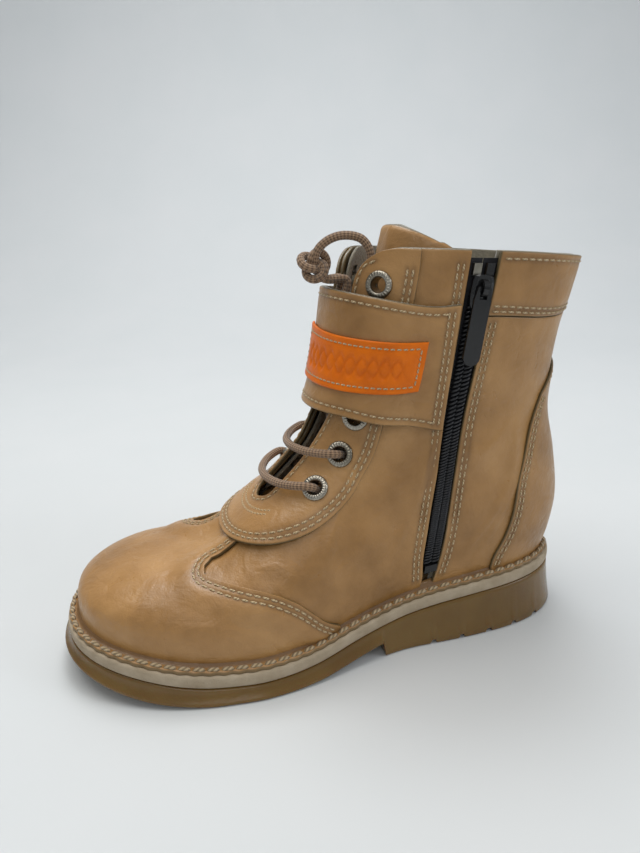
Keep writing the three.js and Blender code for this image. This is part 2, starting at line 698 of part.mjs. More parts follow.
// quarters
const quarterFrontLine = railOf(QUARTER_FRONT);
{
  // medial front quarter: from its hidden front edge to the zip
  const place = (u, v) => {
    const [tf, af] = quarterFrontLine(v);
    const az = zipFront(Math.max(v, 0.03));
    const a = lerp(af, az, u);
    const t = lerp(tf, v, u);
    return [v > 0.999 ? topT(a) : Math.min(t, topT(a)), a];
  };
  addMesh('quarter_medial_front', pierced(shell({
    place, nu: 8, nv: 20, low: flat(-LEATHER), high: flat(0), flange: QUARTER_FLANGE,
  }), 1), TAN);
}
{
  // medial rear quarter: from the zip to the centre back, up to the collar seam
  const place = (u, v) => {
    const a = lerp(zipRear(Math.max(0.03, v * 0.868)), 0.9985, u);
    return [COLLAR_SEAM_T(a) * v, a];
  };
  addMesh('quarter_medial_rear', shell({
    place,
    us: [0, 0.11, 0.22, 0.318, 0.377, 0.49, 0.62, 0.75, 0.88, 1],
    nv: 16,
    low: flat(-LEATHER),
    high: flat(0),
    flange: QUARTER_FLANGE,
  }), TAN);
}
{
  // lateral quarter: from its hidden front edge round to the centre back
  const place = (u, v) => {
    const [tf, af] = quarterFrontLine(v);
    const a = lerp(-af, -0.9985, u);
    const top = lerp(topT(a), COLLAR_SEAM_T(a), smooth(0.235, 0.255, -a));
    const t = lerp(tf, v, smooth(0, 0.4, u));
    return [v > 0.999 ? top : t * lerp(1, top, v), a];
  };
  addMesh('quarter_lateral', pierced(shell({
    place,
    us: [0, 0.078, 0.103, 0.16, 0.23, 0.3, 0.38, 0.46, 0.524, 0.559, 0.63, 0.7, 0.77, 0.85, 0.93, 1],
    nv: 20,
    low: flat(-LEATHER),
    high: flat(0),
    flange: QUARTER_FLANGE,
  }), -1), TAN);
}
{
  // rear collar band, from the zip round the back to the lateral eyestay
  const lowT = (a) => COLLAR_SEAM_T(a) + 0.003;
  const place = (u, v) => {
    const aZip = zipRear(lerp(0.87, 1, v));
    const a = lerp(aZip, 2 - 0.262, u);
    return [lerp(lowT(a), topT(a), v), a];
  };
  addMesh('collar_band', shell({ place, nu: 26, nv: 3, low: flat(-LEATHER), high: flat(0) }), TAN);
}
{
  // heel piece, lapping over both quarters
  const place = (u, v) => {
    const edge = curve([COUNTER_EDGE.map((p) => p[0]), COUNTER_EDGE.map((p) => p[1])], v * 0.6);
    const side = 2 * u - 1;
    const arch = 0.69 - 0.09 * side * side;
    return [arch * v, 1 + side * (1 - edge)];
  };
  addMesh('heel_piece', shell({
    place, nu: 12, nv: 11, low: flat(LAP), high: flat(LAP + OVERLAY), flange: FULL_FLANGE,
  }), TAN);
}
{
  // eyestay: a U round the lacing slit, with its rounded front end as an apron on the toe piece
  const inner = railOf([...EYESTAY_INNER, ...EYESTAY_INNER.slice(0, -1).reverse().map(([t, a]) => [t, -a])]);
  const outer = railOf([...EYESTAY_OUTER, ...EYESTAY_OUTER.slice(0, -1).reverse().map(([t, a]) => [t, -a])]);
  const us = Array.from({ length: 43 }, (_, i) => i / 42);
  const place = (u, v) => {
    const p = inner(u);
    const q = outer(u);
    const a = lerp(p[1], q[1], v);
    const t = lerp(p[0], q[0], v);
    return [t > 0.999 || u < 0.001 || u > 0.999 ? topT(a) : t, a];
  };
  const ramp = (t, a) => (1 - smooth(0.45, 0.53, t)) * (1 - smooth(0.13, 0.24, Math.abs(a))) * (LEATHER + GAP + 0.2);
  const blank = shell({
    place,
    us,
    nv: 4,
    low: (t, a) => LAP + ramp(t, a),
    high: (t, a) => LAP + OVERLAY + ramp(t, a),
  });
  let solid = toManifold(blank);
  for (const side of [1, -1]) for (const t of EYELET_T) solid = solid.subtract(punch(t, side * EYELET_A));
  addMesh('eyestay', fromManifold(solid), TAN);
}

// a straight pin through the upper where an eyelet sits
function punch(t, a) {
  const r = EYELET_HOLE + EYELET_BARREL + GAP;
  const g = new THREE.CylinderGeometry(r, r, 16, 8, 1);
  g.deleteAttribute('normal');
  g.deleteAttribute('uv');
  const p = skin(t, a);
  const q = new THREE.Quaternion().setFromUnitVectors(new THREE.Vector3(0, 1, 0), normalAt(p));
  g.applyQuaternion(q);
  g.translate(p.x, p.y, p.z);
  return toManifold(welded(g));
}

// joins the vertices of a geometry that lie at one place
function welded(geometry) {
  const flatG = geometry.index ? geometry.toNonIndexed() : geometry;
  const pos = flatG.attributes.position;
  const seen = new Map();
  const vertices = [];
  const index = [];
  for (let i = 0; i < pos.count; i += 1) {
    const p = [pos.getX(i), pos.getY(i), pos.getZ(i)];
    const key = p.map((c) => Math.round(c * 1e4)).join(',');
    if (!seen.has(key)) {
      seen.set(key, vertices.length);
      vertices.push(new THREE.Vector3(...p));
    }
    index.push(seen.get(key));
  }
  const faces = [];
  for (let i = 0; i < index.length; i += 3) {
    const [a, b, c] = index.slice(i, i + 3);
    if (a !== b && b !== c && a !== c) faces.push([a, b, c]);
  }
  return geometryOf(vertices, faces);
}

// ---------------------------------------------------------------- linings and stiffeners
const liningLow = (t, a) => liningTop(t, a) - LINING;
{
  const toeDrop = -LEATHER - 2 * BEND - STIFFENER;
  const drop = (t) => lerp(toeDrop, -LEATHER - BEND, smooth(0.3, 0.42, t));
  // toe lining and toe puff
  const line = (k, half) => (u, v) => {
    const a = (2 * u - 1) * half * (1 - 0.35 * v);
    return [v * k, a];
  };
  addMesh('vamp_lining', shell({
    place: line(0.44, 0.34),
    us: Array.from({ length: 17 }, (_, i) => i / 16),
    vs: [0.05, 0.14, 0.26, 0.4, 0.56, 0.72, 0.86, 1],
    low: (t) => drop(t) - LINING,
    high: (t) => drop(t),
  }), FELT);
  addMesh('toe_puff', shell({
    place: line(0.2, 0.2),
    us: Array.from({ length: 17 }, (_, i) => i / 16),
    vs: [0.1, 0.25, 0.45, 0.65, 0.82, 1],
    low: flat(-LEATHER - BEND - STIFFENER),
    high: flat(-LEATHER - BEND - 0.2),
  }), BOARD);
}
{
  // heel stiffener, between the heel lining and the quarters
  const place = (u, v) => {
    const side = 2 * u - 1;
    return [(0.5 - 0.12 * side * side) * lerp(0.03, 1, v), 1 + side * 0.28];
  };
  addMesh('heel_stiffener', shell({
    place, nu: 12, nv: 7, low: flat(-LEATHER - BEND - STIFFENER), high: flat(-LEATHER - BEND - 0.2),
  }), BOARD);
}
function pierced(geometry, side) {
  let solid = toManifold(geometry);
  for (const t of EYELET_T) solid = solid.subtract(punch(t, side * EYELET_A));
  return fromManifold(solid);
}
{
  // linings: medial front, medial rear with the heel, lateral
  const liningFront = railOf([[0.0, 0.352], [0.1, 0.335], [0.2, 0.315], [0.3, 0.295], [0.4, 0.275], [0.452, 0.24],
    [0.468, 0.16], [0.5, 0.08], [0.58, 0.078], [0.7, 0.1], [0.85, 0.1], [0.94, 0.106], [0.985, 0.136], [1, 0.185]]);
  const medial = (u, v) => {
    const [tf, af] = liningFront(v);
    const az = zipFront(Math.max(v, 0.03)) + 0.002;
    const a = lerp(af, az, u);
    const t = lerp(tf, v, smooth(0, 0.5, u));
    return [v > 0.999 ? topT(a) : Math.min(t, topT(a)), a];
  };
  addMesh('lining_medial_front', pierced(shell({
    place: medial, nu: 7, nv: 16, low: liningLow, high: liningTop,
  }), 1), FELT);
  const rear = (u, v) => {
    const a = lerp(zipRear(Math.max(v, 0.03)) - 0.002, 0.9985, u);
    return [topT(a) * v, a];
  };
  addMesh('lining_medial_rear', shell({ place: rear, nu: 9, nv: 15, low: liningLow, high: liningTop }), FELT);
  const lateral = (u, v) => {
    const [tf, af] = liningFront(v);
    const a = -lerp(af, 0.9985, u);
    const t = lerp(tf, v, smooth(0, 0.4, u));
    return [v > 0.999 ? topT(a) : Math.min(t, topT(a)), a];
  };
  addMesh('lining_lateral', pierced(shell({
    place: lateral, nu: 11, nv: 16, low: liningLow, high: liningTop,
  }), -1), FELT);
}

// ---------------------------------------------------------------- tongue
const TONGUE_BASE = 0.458;
const TONGUE_TOP = 1.07;
const TONGUE_ROWS = [0, 0.05, 0.1, 0.2, 0.34, 0.48, 0.62, 0.76, 0.88, 1];
{
  const half = (t) => lerp(0.15, 0.36, smooth(0.45, 1.0, t));
  const place = (u, v) => {
    const side = 2 * u - 1;
    const top = TONGUE_TOP - 0.065 * Math.abs(side) ** 2.6;
    const t = lerp(TONGUE_BASE, top, v);
    return [t, side * half(t)];
  };
  const drop = (t) => lerp(-3.9, -9.1, smooth(0.462, 0.516, t)) - 4.2 * smooth(0.82, 1.07, t);
  const layer = (name, from, to, mat) => addMesh(name, shell({
    place, nu: 10, vs: TONGUE_ROWS, low: (t) => drop(t) - to, high: (t) => drop(t) - from,
  }), mat);
  layer('tongue_outer', 0, 1, TAN);
  layer('tongue_foam', 1.3, 3.4, FOAM);
  layer('tongue_lining', 3.7, 4.5, FELT);
}

// ---------------------------------------------------------------- eyelets
const FLAP_TOP = LAP + OVERLAY; // face that the rings sit on
function eyeletGeometry() {
  const r0 = EYELET_HOLE;
  const r1 = EYELET_HOLE + EYELET_BARREL;
  const z1 = FLAP_TOP + GAP + 0.15;
  const z0 = -LEATHER - BEND - LINING - GAP - 0.45;
  const profile = [
    [r0, z0 - 0.4], [r0, z1 + 0.3], [r0 + 0.8, z1 + EYELET_RING],
    [EYELET_FLANGE - 0.6, z1 + 0.55], [EYELET_FLANGE, z1], [r1, z1],
    [r1, z0], [r1 + 0.8, z0], [r1 + 0.8, z0 - 0.4], [r0, z0 - 0.4],
  ].map(([x, y]) => new THREE.Vector2(x, y));
  return welded(new THREE.LatheGeometry(profile.reverse(), 10));
}
for (const [side, label] of [[1, 'medial'], [-1, 'lateral']]) {
  EYELET_T.forEach((t, i) => {
    const g = eyeletGeometry();
    const p = skin(t, side * EYELET_A);
    g.applyQuaternion(new THREE.Quaternion().setFromUnitVectors(new THREE.Vector3(0, 1, 0), normalAt(p)));
    g.translate(p.x, p.y, p.z);
    addMesh(`eyelet_${label}_${i + 1}`, g, NICKEL);
  });
}

// ---------------------------------------------------------------- strap, its fasteners and the label
// its sewn end is straight, because the strap turns about that line when it is opened
const STRAP_LOW_T = 0.612;
const STRAP_HIGH_T = 0.9;
const HINGE_IN = 1.2; // from the leather edge at the zip to the strap's end
const hingeA = (t) => zipFront(t) - share(t, HINGE_IN);
const hingeLow = above(STRAP_LOW_T, hingeA(STRAP_LOW_T), GAP);
const hingeHigh = above(STRAP_HIGH_T, hingeA(STRAP_HIGH_T), GAP);
const hingeLift = (t) => {
  const p = skin(t, hingeA(t));
  const along = clamp((p.z - hingeLow.z) / (hingeHigh.z - hingeLow.z), 0, 1);
  return Math.max(GAP, hingeLow.clone().lerp(hingeHigh, along).sub(p).dot(normalAt(p)));
};
const strapBase = (t, a) => {
  const lift = STRAP_LIFT * smooth(0.36, 0.23, a);
  return Math.max(lift, lerp(GAP, hingeLift(t), smooth(0.28, 0.38, a)));
};
{
  const lowEdge = [[STRAP_LOW_T, 0], [0.64, 0.36], [0.66, 0.25], [0.678, 0.15], [0.684, 0.04], [0.684, -0.06],
    [0.678, -0.2], [0.66, -0.34], [0.645, -0.44]];
  const highEdge = [[STRAP_HIGH_T, 0], [0.898, 0.33], [0.912, 0.22], [0.922, 0.12], [0.926, 0], [0.924, -0.1],
    [0.915, -0.22], [0.9, -0.34], [0.888, -0.44]];
  lowEdge[0] = [STRAP_LOW_T, hingeA(STRAP_LOW_T)];
  highEdge[0] = [STRAP_HIGH_T, hingeA(STRAP_HIGH_T)];
  const lowRail = railOf(lowEdge);
  const highRail = railOf(highEdge);
  const place = (u, v) => {
    const p = lowRail(u);
    const q = highRail(u);
    const t = lerp(p[0], q[0], v);
    const bow = hingeA(t) - lerp(lowEdge[0][1], highEdge[0][1], v);
    return [t, lerp(p[1], q[1], v) + bow * smooth(0.25, 0, u)];
  };
  addMesh('strap_lining', shell({
    place, nu: 24, nv: 4, low: strapBase, high: (t, a) => strapBase(t, a) + STRAP_LINING,
  }), FELT);
  const strapLow = (t, a) => strapBase(t, a) + STRAP_LINING + GAP;
  addMesh('strap', shell({
    place, nu: 24, nv: 4, low: strapLow, high: (t, a) => strapLow(t, a) + STRAP,
  }), TAN);
  const labelPlace = (u, v) => [lerp(lerp(0.737, 0.72, u), lerp(0.852, 0.828, u), v), lerp(-0.07, 0.328, u)];
  const labelLow = (t, a) => strapLow(t, a) + STRAP + GAP;
  addMesh('label', shell({
    place: labelPlace, nu: 14, nv: 3, low: labelLow, high: (t, a) => labelLow(t, a) + LABEL,
  }), ORANGE);
  const pad = (a0, a1) => (u, v) => [lerp(0.69, 0.86, v), lerp(a0, a1, u)];
  addMesh('strap_loop_pad', shell({
    place: pad(-0.3, -0.42), nu: 6, nv: 5, low: flat(GAP), high: flat(GAP + 1.2),
  }), BLACK);
  addMesh('strap_hook_pad', shell({
    place: pad(-0.305, -0.415), nu: 6, nv: 5, low: flat(STRAP_LIFT - GAP - 0.8), high: flat(STRAP_LIFT - GAP),
  }), BLACK);
}

// ---------------------------------------------------------------- zip
const ZIP_LOW_T = 0.05;
// a point of the zip, mm across the track from its centre line (towards the back), height d
const zipPoint = (t, across, d) => above(t, zipMid(t) + share(t, across), d);
{
  const tape = (name, side) => addMesh(name, shell({
    place: (u, v) => {
      const t = lerp(ZIP_LOW_T, 0.995, v);
      const from = side * 0.25;
      const to = side * TAPE_W;
      return [t, zipMid(t) + share(t, lerp(from, to, u))];
    },
    nu: 1,
    nv: 16,
    low: flat(-LEATHER - GAP - TAPE),
    high: flat(-LEATHER - GAP),
  }), BLACK);
  tape('zip_tape_front', -1);
  tape('zip_tape_rear', 1);
  const coil = (name, side) => {
    const sections = [];
    const teeth = 30;
    for (let i = 0; i <= teeth * 2; i += 1) {
      const t = lerp(0.075, 0.93, i / (teeth * 2));
      const swell = i % 2 ? 0.22 : 0;
      const near = side * (0.15 + (0.22 - swell) * 0.3);
      const far = side * (COIL_W - 0.25 + swell);
      const low = -LEATHER + 0.05;
      const high = low + COIL - 0.25 + swell;
      const ring = [
        zipPoint(t, near, low), zipPoint(t, far, low), zipPoint(t, far, high - 0.4), zipPoint(t, near, high),
      ];
      sections.push(ring);
    }
    addMesh(name, loftGeometry(sections), BLACK);
  };
  coil('zip_coil_front', -1);
  coil('zip_coil_rear', 1);
  const block = (name, t, across, half, long, low, high, mat) => {
    const sections = [-1, 1].map((s) => {
      const at = t + s * long / 2 / 118;
      return [
        zipPoint(at, across - half, low), zipPoint(at, across + half, low),
        zipPoint(at, across + half, high), zipPoint(at, across - half, high),
      ];
    });
    addMesh(name, loftGeometry(sections), mat);
  };
  block('zip_top_stop_front', 0.972, -2.2, 1.3, 3, -LEATHER, 0.3, NICKEL);
  block('zip_top_stop_rear', 0.972, 2.2, 1.3, 3, -LEATHER, 0.3, NICKEL);
  block('zip_bottom_stop', 0.058, 0, 2.4, 2.4, -LEATHER, 0.3, NICKEL);
}

// slider and pull tab, built in the slider's own frame: u across, v up the track, w out of the boot
const SLIDER_T = 0.925;
const SLIDER_D = 0.55; // underside of the slider above the skin
const sliderFrame = (() => {
  const p = zipPoint(SLIDER_T, 0, 0);
  const up = zipPoint(SLIDER_T + 0.03, 0, 0).sub(zipPoint(SLIDER_T - 0.03, 0, 0)).normalize();
  const out = normalAt(p);
  out.addScaledVector(up, -out.dot(up)).normalize();
  const across = up.clone().cross(out).normalize();
  return { p, up, out, across };
})();
const inSlider = (u, v, w) => sliderFrame.p.clone()
  .addScaledVector(sliderFrame.across, u)
  .addScaledVector(sliderFrame.up, v)
  .addScaledVector(sliderFrame.out, w);
const PULL_V = 1.2; // pull axis along the track from the slider's middle
const PULL_W = SLIDER_D + 2.35; // pull axis above the skin
{
  const body = [];
  const half = SLIDER_W / 2;
  for (const [v, k] of [[-0.5, 0.72], [-0.38, 0.9], [-0.1, 1], [0.3, 0.97], [0.45, 0.85], [0.5, 0.6]]) {
    const y = v * SLIDER_L;
    const w1 = SLIDER_D + 1.5;
    body.push([
      inSlider(-half * k, y, SLIDER_D), inSlider(half * k, y, SLIDER_D),
      inSlider(half * k, y, w1 - 0.5), inSlider(half * k * 0.7, y, w1),
      inSlider(-half * k * 0.7, y, w1), inSlider(-half * k, y, w1 - 0.5),
    ]);
  }
  const plateSolid = toManifold(loftGeometry(body));
  // the bridge over the plate: a half ring that the pull tab's eye hangs on
  const bridge = [];
  for (let i = 0; i <= 10; i += 1) {
    const th = Math.PI * i / 10;
    const c = [PULL_V + Math.cos(th) * 2.3, SLIDER_D + 1.2 + Math.sin(th) * 2.6];
    const o = [Math.cos(th), Math.sin(th)];
    bridge.push([
      inSlider(-0.9, c[0] - o[0] * 0.5, c[1] - o[1] * 0.5), inSlider(0.9, c[0] - o[0] * 0.5, c[1] - o[1] * 0.5),
      inSlider(0.9, c[0] + o[0] * 0.5, c[1] + o[1] * 0.5), inSlider(-0.9, c[0] + o[0] * 0.5, c[1] + o[1] * 0.5),
    ]);
  }
  addMesh('zip_slider', fromManifold(plateSolid.add(toManifold(loftGeometry(bridge)))), BLACK);
  // pull tab: a flat tongue with an eye at its top, hanging down over the track
  const shape = new THREE.Shape();
  const w = TAB_W / 2;
  shape.moveTo(-w * 0.75, 0.5);
  shape.lineTo(w * 0.75, 0.5);
  shape.lineTo(w, -3.6);
  shape.lineTo(w, -TAB_L + w);
  shape.absarc(0, -TAB_L + w, w, 0, -Math.PI, true);
  shape.lineTo(-w, -3.6);
  shape.closePath();
  const eye = new THREE.Path();
  eye.moveTo(-1.25, -0.5);
  eye.lineTo(-1.25, -3.4);
  eye.lineTo(1.25, -3.4);
  eye.lineTo(1.25, -0.5);
  eye.closePath();
  shape.holes.push(eye);
  const tab = new THREE.ExtrudeGeometry(shape, { depth: 1, bevelEnabled: false, curveSegments: 8 });
  tab.deleteAttribute('normal');
  tab.deleteAttribute('uv');
  const m = new THREE.Matrix4().makeBasis(sliderFrame.across, sliderFrame.up, sliderFrame.out);
  tab.translate(0, PULL_V, PULL_W - 0.5);
  tab.applyMatrix4(m);
  tab.translate(sliderFrame.p.x, sliderFrame.p.y, sliderFrame.p.z);
  addMesh('zip_pull_tab', welded(tab), BLACK);
}

// ---------------------------------------------------------------- lace
class PointPath extends THREE.Curve {
  constructor(points) {
    super();
    this.inner = new THREE.CatmullRomCurve3(points, false, 'centripetal');
    this.inner.arcLengthDivisions = 600;
  }

  getPoint(s, target = new THREE.Vector3()) {
    return this.inner.getPoint(s, target);
  }
}
function tube(points, steps, sides) {
  const shape = new THREE.Shape();
  for (let i = 0; i < sides; i += 1) {
    const th = 2 * Math.PI * i / sides;
    const [x, y] = [LACE_R * Math.cos(th), LACE_R * Math.sin(th)];
    if (i === 0) shape.moveTo(x, y);
    else shape.lineTo(x, y);
  }
  shape.closePath();
  const g = new THREE.ExtrudeGeometry(shape, { steps, bevelEnabled: false, extrudePath: new PointPath(points) });
  g.deleteAttribute('normal');
  g.deleteAttribute('uv');
  return welded(g);
}
const KNOT = new THREE.Vector3(3, -4.4, 136);
{
  const [t1, t2] = EYELET_T;
  const mid = EYELET_A;
  const through = (t, side, inwards) => {
    const heights = [LACE_R + 3.45, LACE_R + 1.15, 0.2, -2.8, -6.3];
    const as = [mid - 0.018, mid - (EYELET_HOLE - LACE_R) / 350, mid, mid, mid - 0.004];
    const pts = heights.map((d, i) => above(t, side * as[i], d));
    return inwards ? pts : pts.reverse();
  };
  const bar = (t, side) => [
    ...[[0.13, 3.35], [0.09, 2.95], [0.04, 2.65], [0, 2.75], [-0.04, 2.65], [-0.09, 2.95], [-0.13, 3.35]]
      .map(([a, d]) => above(t, side * a, LACE_R + d)),
  ];
  const path = [
    ...[[0.945, 0.028, -0.6], [0.9, 0.03, 0.2], [0.84, 0.03, 0.4], [0.77, 0.03, 0], [0.72, 0.034, -2.6],
      [0.68, 0.06, -5.4], [0.64, 0.13, -6]].map(([t, a, d]) => above(t, a, d)),
    ...through(t2, 1, false),
    ...bar(t2, 1),
    ...through(t2, -1, true),
    above((t1 + t2) / 2, -mid + 0.004, -6.1),
    ...through(t1, -1, false),
    ...bar(t1, -1),
    ...through(t1, 1, true),
    ...[[0.55, 0.12, -6.1], [0.6, 0.085, -6.1], [0.66, 0.02, -5.6], [0.7, -0.02, -3.8], [0.75, -0.028, -0.6],
      [0.84, -0.03, 0.4], [0.9, -0.03, 0.2], [0.945, -0.026, -0.6]].map(([t, a, d]) => above(t, a, d)),
  ];
  const loop = [
    new THREE.Vector3(3, -4.4, 136),
    new THREE.Vector3(4, -3.6, 140.6),
    new THREE.Vector3(5, 0, 144),
    new THREE.Vector3(6.5, 5, 145.4),
    new THREE.Vector3(8, 10.5, 144.2),
    new THREE.Vector3(9, 13.2, 140),
    new THREE.Vector3(9, 13.4, 134),
  ];
  const rise = (dx) => [new THREE.Vector3(KNOT.x + dx, KNOT.y + 0.4, KNOT.z),
    new THREE.Vector3(KNOT.x + dx * 1.2, KNOT.y + 3.4, KNOT.z - 4.6)];
  const whole = [...rise(1.2), ...path, ...rise(-1.2).reverse()];
  let lace = toManifold(tube(whole, 116, 6));
  lace = lace.add(toManifold(tube(loop, 20, 6)));
  const knot = new THREE.TorusKnotGeometry(3.0, LACE_R, 36, 6, 2, 3);
  knot.deleteAttribute('normal');
  knot.deleteAttribute('uv');
  knot.scale(0.85, 0.85, 0.8);
  knot.rotateY(1.1);
  knot.translate(KNOT.x, KNOT.y, KNOT.z);
  lace = lace.add(toManifold(welded(knot)));
  const heart = new THREE.IcosahedronGeometry(3.2, 1);
  heart.deleteAttribute('normal');
  heart.deleteAttribute('uv');
  heart.translate(KNOT.x, KNOT.y, KNOT.z);
  lace = lace.add(toManifold(welded(heart)));
  addMesh('lace', fromManifold(lace), CORD);
}

// ---------------------------------------------------------------- the part, centred over its footprint
const group = new THREE.Group();
group.name = 'ankle_boot';
for (const mesh of meshes) group.add(mesh);
const box = new THREE.Box3().setFromObject(group, true);
const shift = new THREE.Vector3(-(box.min.x + box.max.x) / 2, -(box.min.y + box.max.y) / 2, -box.min.z);
for (const mesh of meshes) mesh.geometry.translate(shift.x, shift.y, shift.z);

export default group;
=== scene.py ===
"""A child's right ankle boot of tan waxed leather, with a wrap strap, a lace and a side zip, in a studio.

Shapes are worked out in millimetres in the last's own frame (toe towards -Y, medial side +X) and become
metres in the part's frame in `place`.
"""
import math

import bpy
import numpy as np
from mathutils import Matrix, Vector, noise


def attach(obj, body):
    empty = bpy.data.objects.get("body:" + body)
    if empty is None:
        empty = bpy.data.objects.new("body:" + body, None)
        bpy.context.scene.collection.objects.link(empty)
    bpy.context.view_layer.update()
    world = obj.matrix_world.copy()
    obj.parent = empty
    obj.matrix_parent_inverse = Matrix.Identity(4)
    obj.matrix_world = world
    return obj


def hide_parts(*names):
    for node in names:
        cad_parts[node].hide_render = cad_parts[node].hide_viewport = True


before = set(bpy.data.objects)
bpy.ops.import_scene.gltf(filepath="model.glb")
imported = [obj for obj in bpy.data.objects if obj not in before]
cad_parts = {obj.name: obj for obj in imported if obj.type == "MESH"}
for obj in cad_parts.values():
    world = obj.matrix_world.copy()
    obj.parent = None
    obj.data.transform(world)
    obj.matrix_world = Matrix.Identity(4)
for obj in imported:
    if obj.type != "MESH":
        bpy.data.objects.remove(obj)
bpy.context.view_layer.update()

# ---------- driving sizes, mm
SHIFT = np.array([-0.48, 3.327, 0.0])  # from the last's frame to the part's frame
LEATHER = 1.5
OVERLAY = 1.2
LINING = 1.2
LINING_GAP = 0.75  # room between the outer leather and the felt
STRAP_BUILD = 2.3  # strap leather and felt together
LABEL_LIFT = 1.25  # face of the label over the strap
WELT_MARGIN = 4.1
BAND = 4.6
FLARE = 2.0
BREAST_Y = 10.0
GROOVE_Y = [30, 41.5, 53, 64.5, 75.5]
GROOVE_WIDTH = 2.6
GROOVE_DEPTH = 1.3
EYELET_A = 0.172
EYELET_T = [0.533, 0.605, 0.676, 0.762, 0.852, 0.94]
HOLE_R = 3.4  # holes punched under the eyelet rings
LACE_R = 1.45
STRAP_LIFT = 3.8
ROW_PITCH = 2.9  # sewing stitch pitch
WELT_PITCH = 4.65  # lock stitch pitch on the welt
THREAD_R = 0.33

FEATHER = ([-98, -78, -52, -22, 8, 38, 92], [18, 14.3, 10.4, 10.2, 15.5, 20.4, 23.4])
SOLE_UNDER = ([-102, -78, -58, -44, -17, 10], [9.6, 3.2, 0.4, 0, 0.6, 5.4])
CENTRE = ([-95, -80, -60, -40, -10, 20, 50, 95], [-3.5, -3, -1, 0.8, 1.5, 2, 2.4, 2.8])
FOOT_W = ([-45, -34, -17, -2, 14, 30, 60], [35.8, 35.8, 33, 28.6, 25, 24, 23])
FOOT_H = ([-95, -70, -58, -50, -44, -36, -28, -20, -12, -4, 4, 12, 30],
          [36, 38.2, 38.4, 39.2, 41, 46.2, 53, 61.2, 69.9, 78.9, 87.2, 95, 107])
FOOT_N = ([-95, -60, -40, -15, 30], [2.8, 2.7, 2.35, 2, 1.9])
SHAFT_F = ([15, 40, 60, 80, 100, 120, 140], [14, 10, 4, 0, 1.5, 4, 7])
SHAFT_B = ([15, 24, 34, 47, 65, 82, 98, 112, 120, 134, 142],
           [85, 87, 89.8, 91.2, 88.6, 84.8, 85.6, 87.4, 89.4, 92.8, 94.6])
SHAFT_W = ([15, 24, 45, 65, 85, 100, 120, 142], [21.5, 23.5, 26, 26.2, 26, 27, 28.5, 30])
QUARTERS = [0, 0.25, 0.5, 0.75, 1]
FRONT_Y = (QUARTERS, [-60, -52, -10, 35, 50])
FRONT_Z = (QUARTERS, [19, 24, 38, 85, 140])
FRONT_ANGLE = (QUARTERS, [180, 112, 132, 160, 180])
BACK_LOW = 24
BACK_HIGH = 136


# ---------- small maths
def lerp(a, b, t):
    return a + (b - a) * t


def smooth(lo, hi, v):
    s = np.clip((v - lo) / (hi - lo), 0, 1)
    return s * s * (3 - 2 * s)


def curve(table, x):
    """A smooth curve through control values, flat beyond its ends."""
    xs, ys = (np.asarray(values, float) for values in table)
    slopes = np.gradient(ys)
    slopes[1:-1] = (ys[2:] - ys[:-2]) / (xs[2:] - xs[:-2])
    slopes[0] = (ys[1] - ys[0]) / (xs[1] - xs[0])
    slopes[-1] = (ys[-1] - ys[-2]) / (xs[-1] - xs[-2])
    v = np.clip(np.asarray(x, float), xs[0], xs[-1])
    i = np.clip(np.searchsorted(xs, v, side="right") - 1, 0, len(xs) - 2)
    h = xs[i + 1] - xs[i]
    t = (v - xs[i]) / h
    t2 = t * t
    t3 = t2 * t
    rise = (2 * t3 - 3 * t2 + 1) * ys[i] + (3 * t2 - 2 * t3) * ys[i + 1]
    return rise + h * ((t3 - 2 * t2 + t) * slopes[i] + (t3 - t2) * slopes[i + 1])


def unit(v):
    return v / np.maximum(np.linalg.norm(v, axis=-1, keepdims=True), 1e-12)


def run_along(points):
    """The length of the path up to each of its points."""
    return np.r_[0, np.cumsum(np.linalg.norm(np.diff(points, axis=0), axis=1))]


def resampled(points, run, want):
    """Points of the path where its run, or another rising value, is as wanted."""
    return np.stack([np.interp(want, run, column) for column in points.T], -1)


def feather(y):
    return curve(FEATHER, y)


# ---------- the boot's body
def foot_field(x, y, z):
    low = feather(y)
    q = np.where(y < -45, (-45 - y) / 48.9, np.maximum(0, (y - 8) / 54))
    rise = np.clip((z - low) / 8, 0, 1)
    w = curve(FOOT_W, y) + 1.6 * rise * (2 - rise)
    z0 = low + 7
    n = curve(FOOT_N, y)
    plan = (np.abs(x) / w) ** 2.3 + np.abs(q) ** 2.3
    up = np.where(z > z0, (z - z0) / np.maximum(curve(FOOT_H, y) - z0, 5), 0)
    return 26 * ((plan ** (n / 2.3) + up ** n) ** (1 / n) - 1)


def shaft_field(x, y, z):
    front, back = curve(SHAFT_F, z), curve(SHAFT_B, z)
    half = (back - front) / 2
    across = (np.abs(x) / curve(SHAFT_W, z)) ** 2.25
    along = (np.abs(y - (front + back) / 2) / half) ** 2.25
    return 28 * ((across + along) ** (1 / 2.25) - 1)


def body_field(x, y, z):
    """Negative inside the boot; x is measured from the foot's centre line."""
    foot, shaft = foot_field(x, y, z), shaft_field(x, y, z)
    h = np.clip(0.5 + (shaft - foot) / 22, 0, 1)
    return lerp(shaft, foot, h) - 11 * h * (1 - h)


def reach(point, far):
    """How far `point(distance)` stays inside the body, by halving, for arrays of rays."""
    low, high = np.zeros_like(far), far
    for _ in range(32):
        mid = (low + high) / 2
        inside = body_field(*point(mid)) < 0
        low, high = np.where(inside, mid, low), np.where(inside, high, mid)
    return low


ROWS, COLS, RAYS = 150, 200, 240


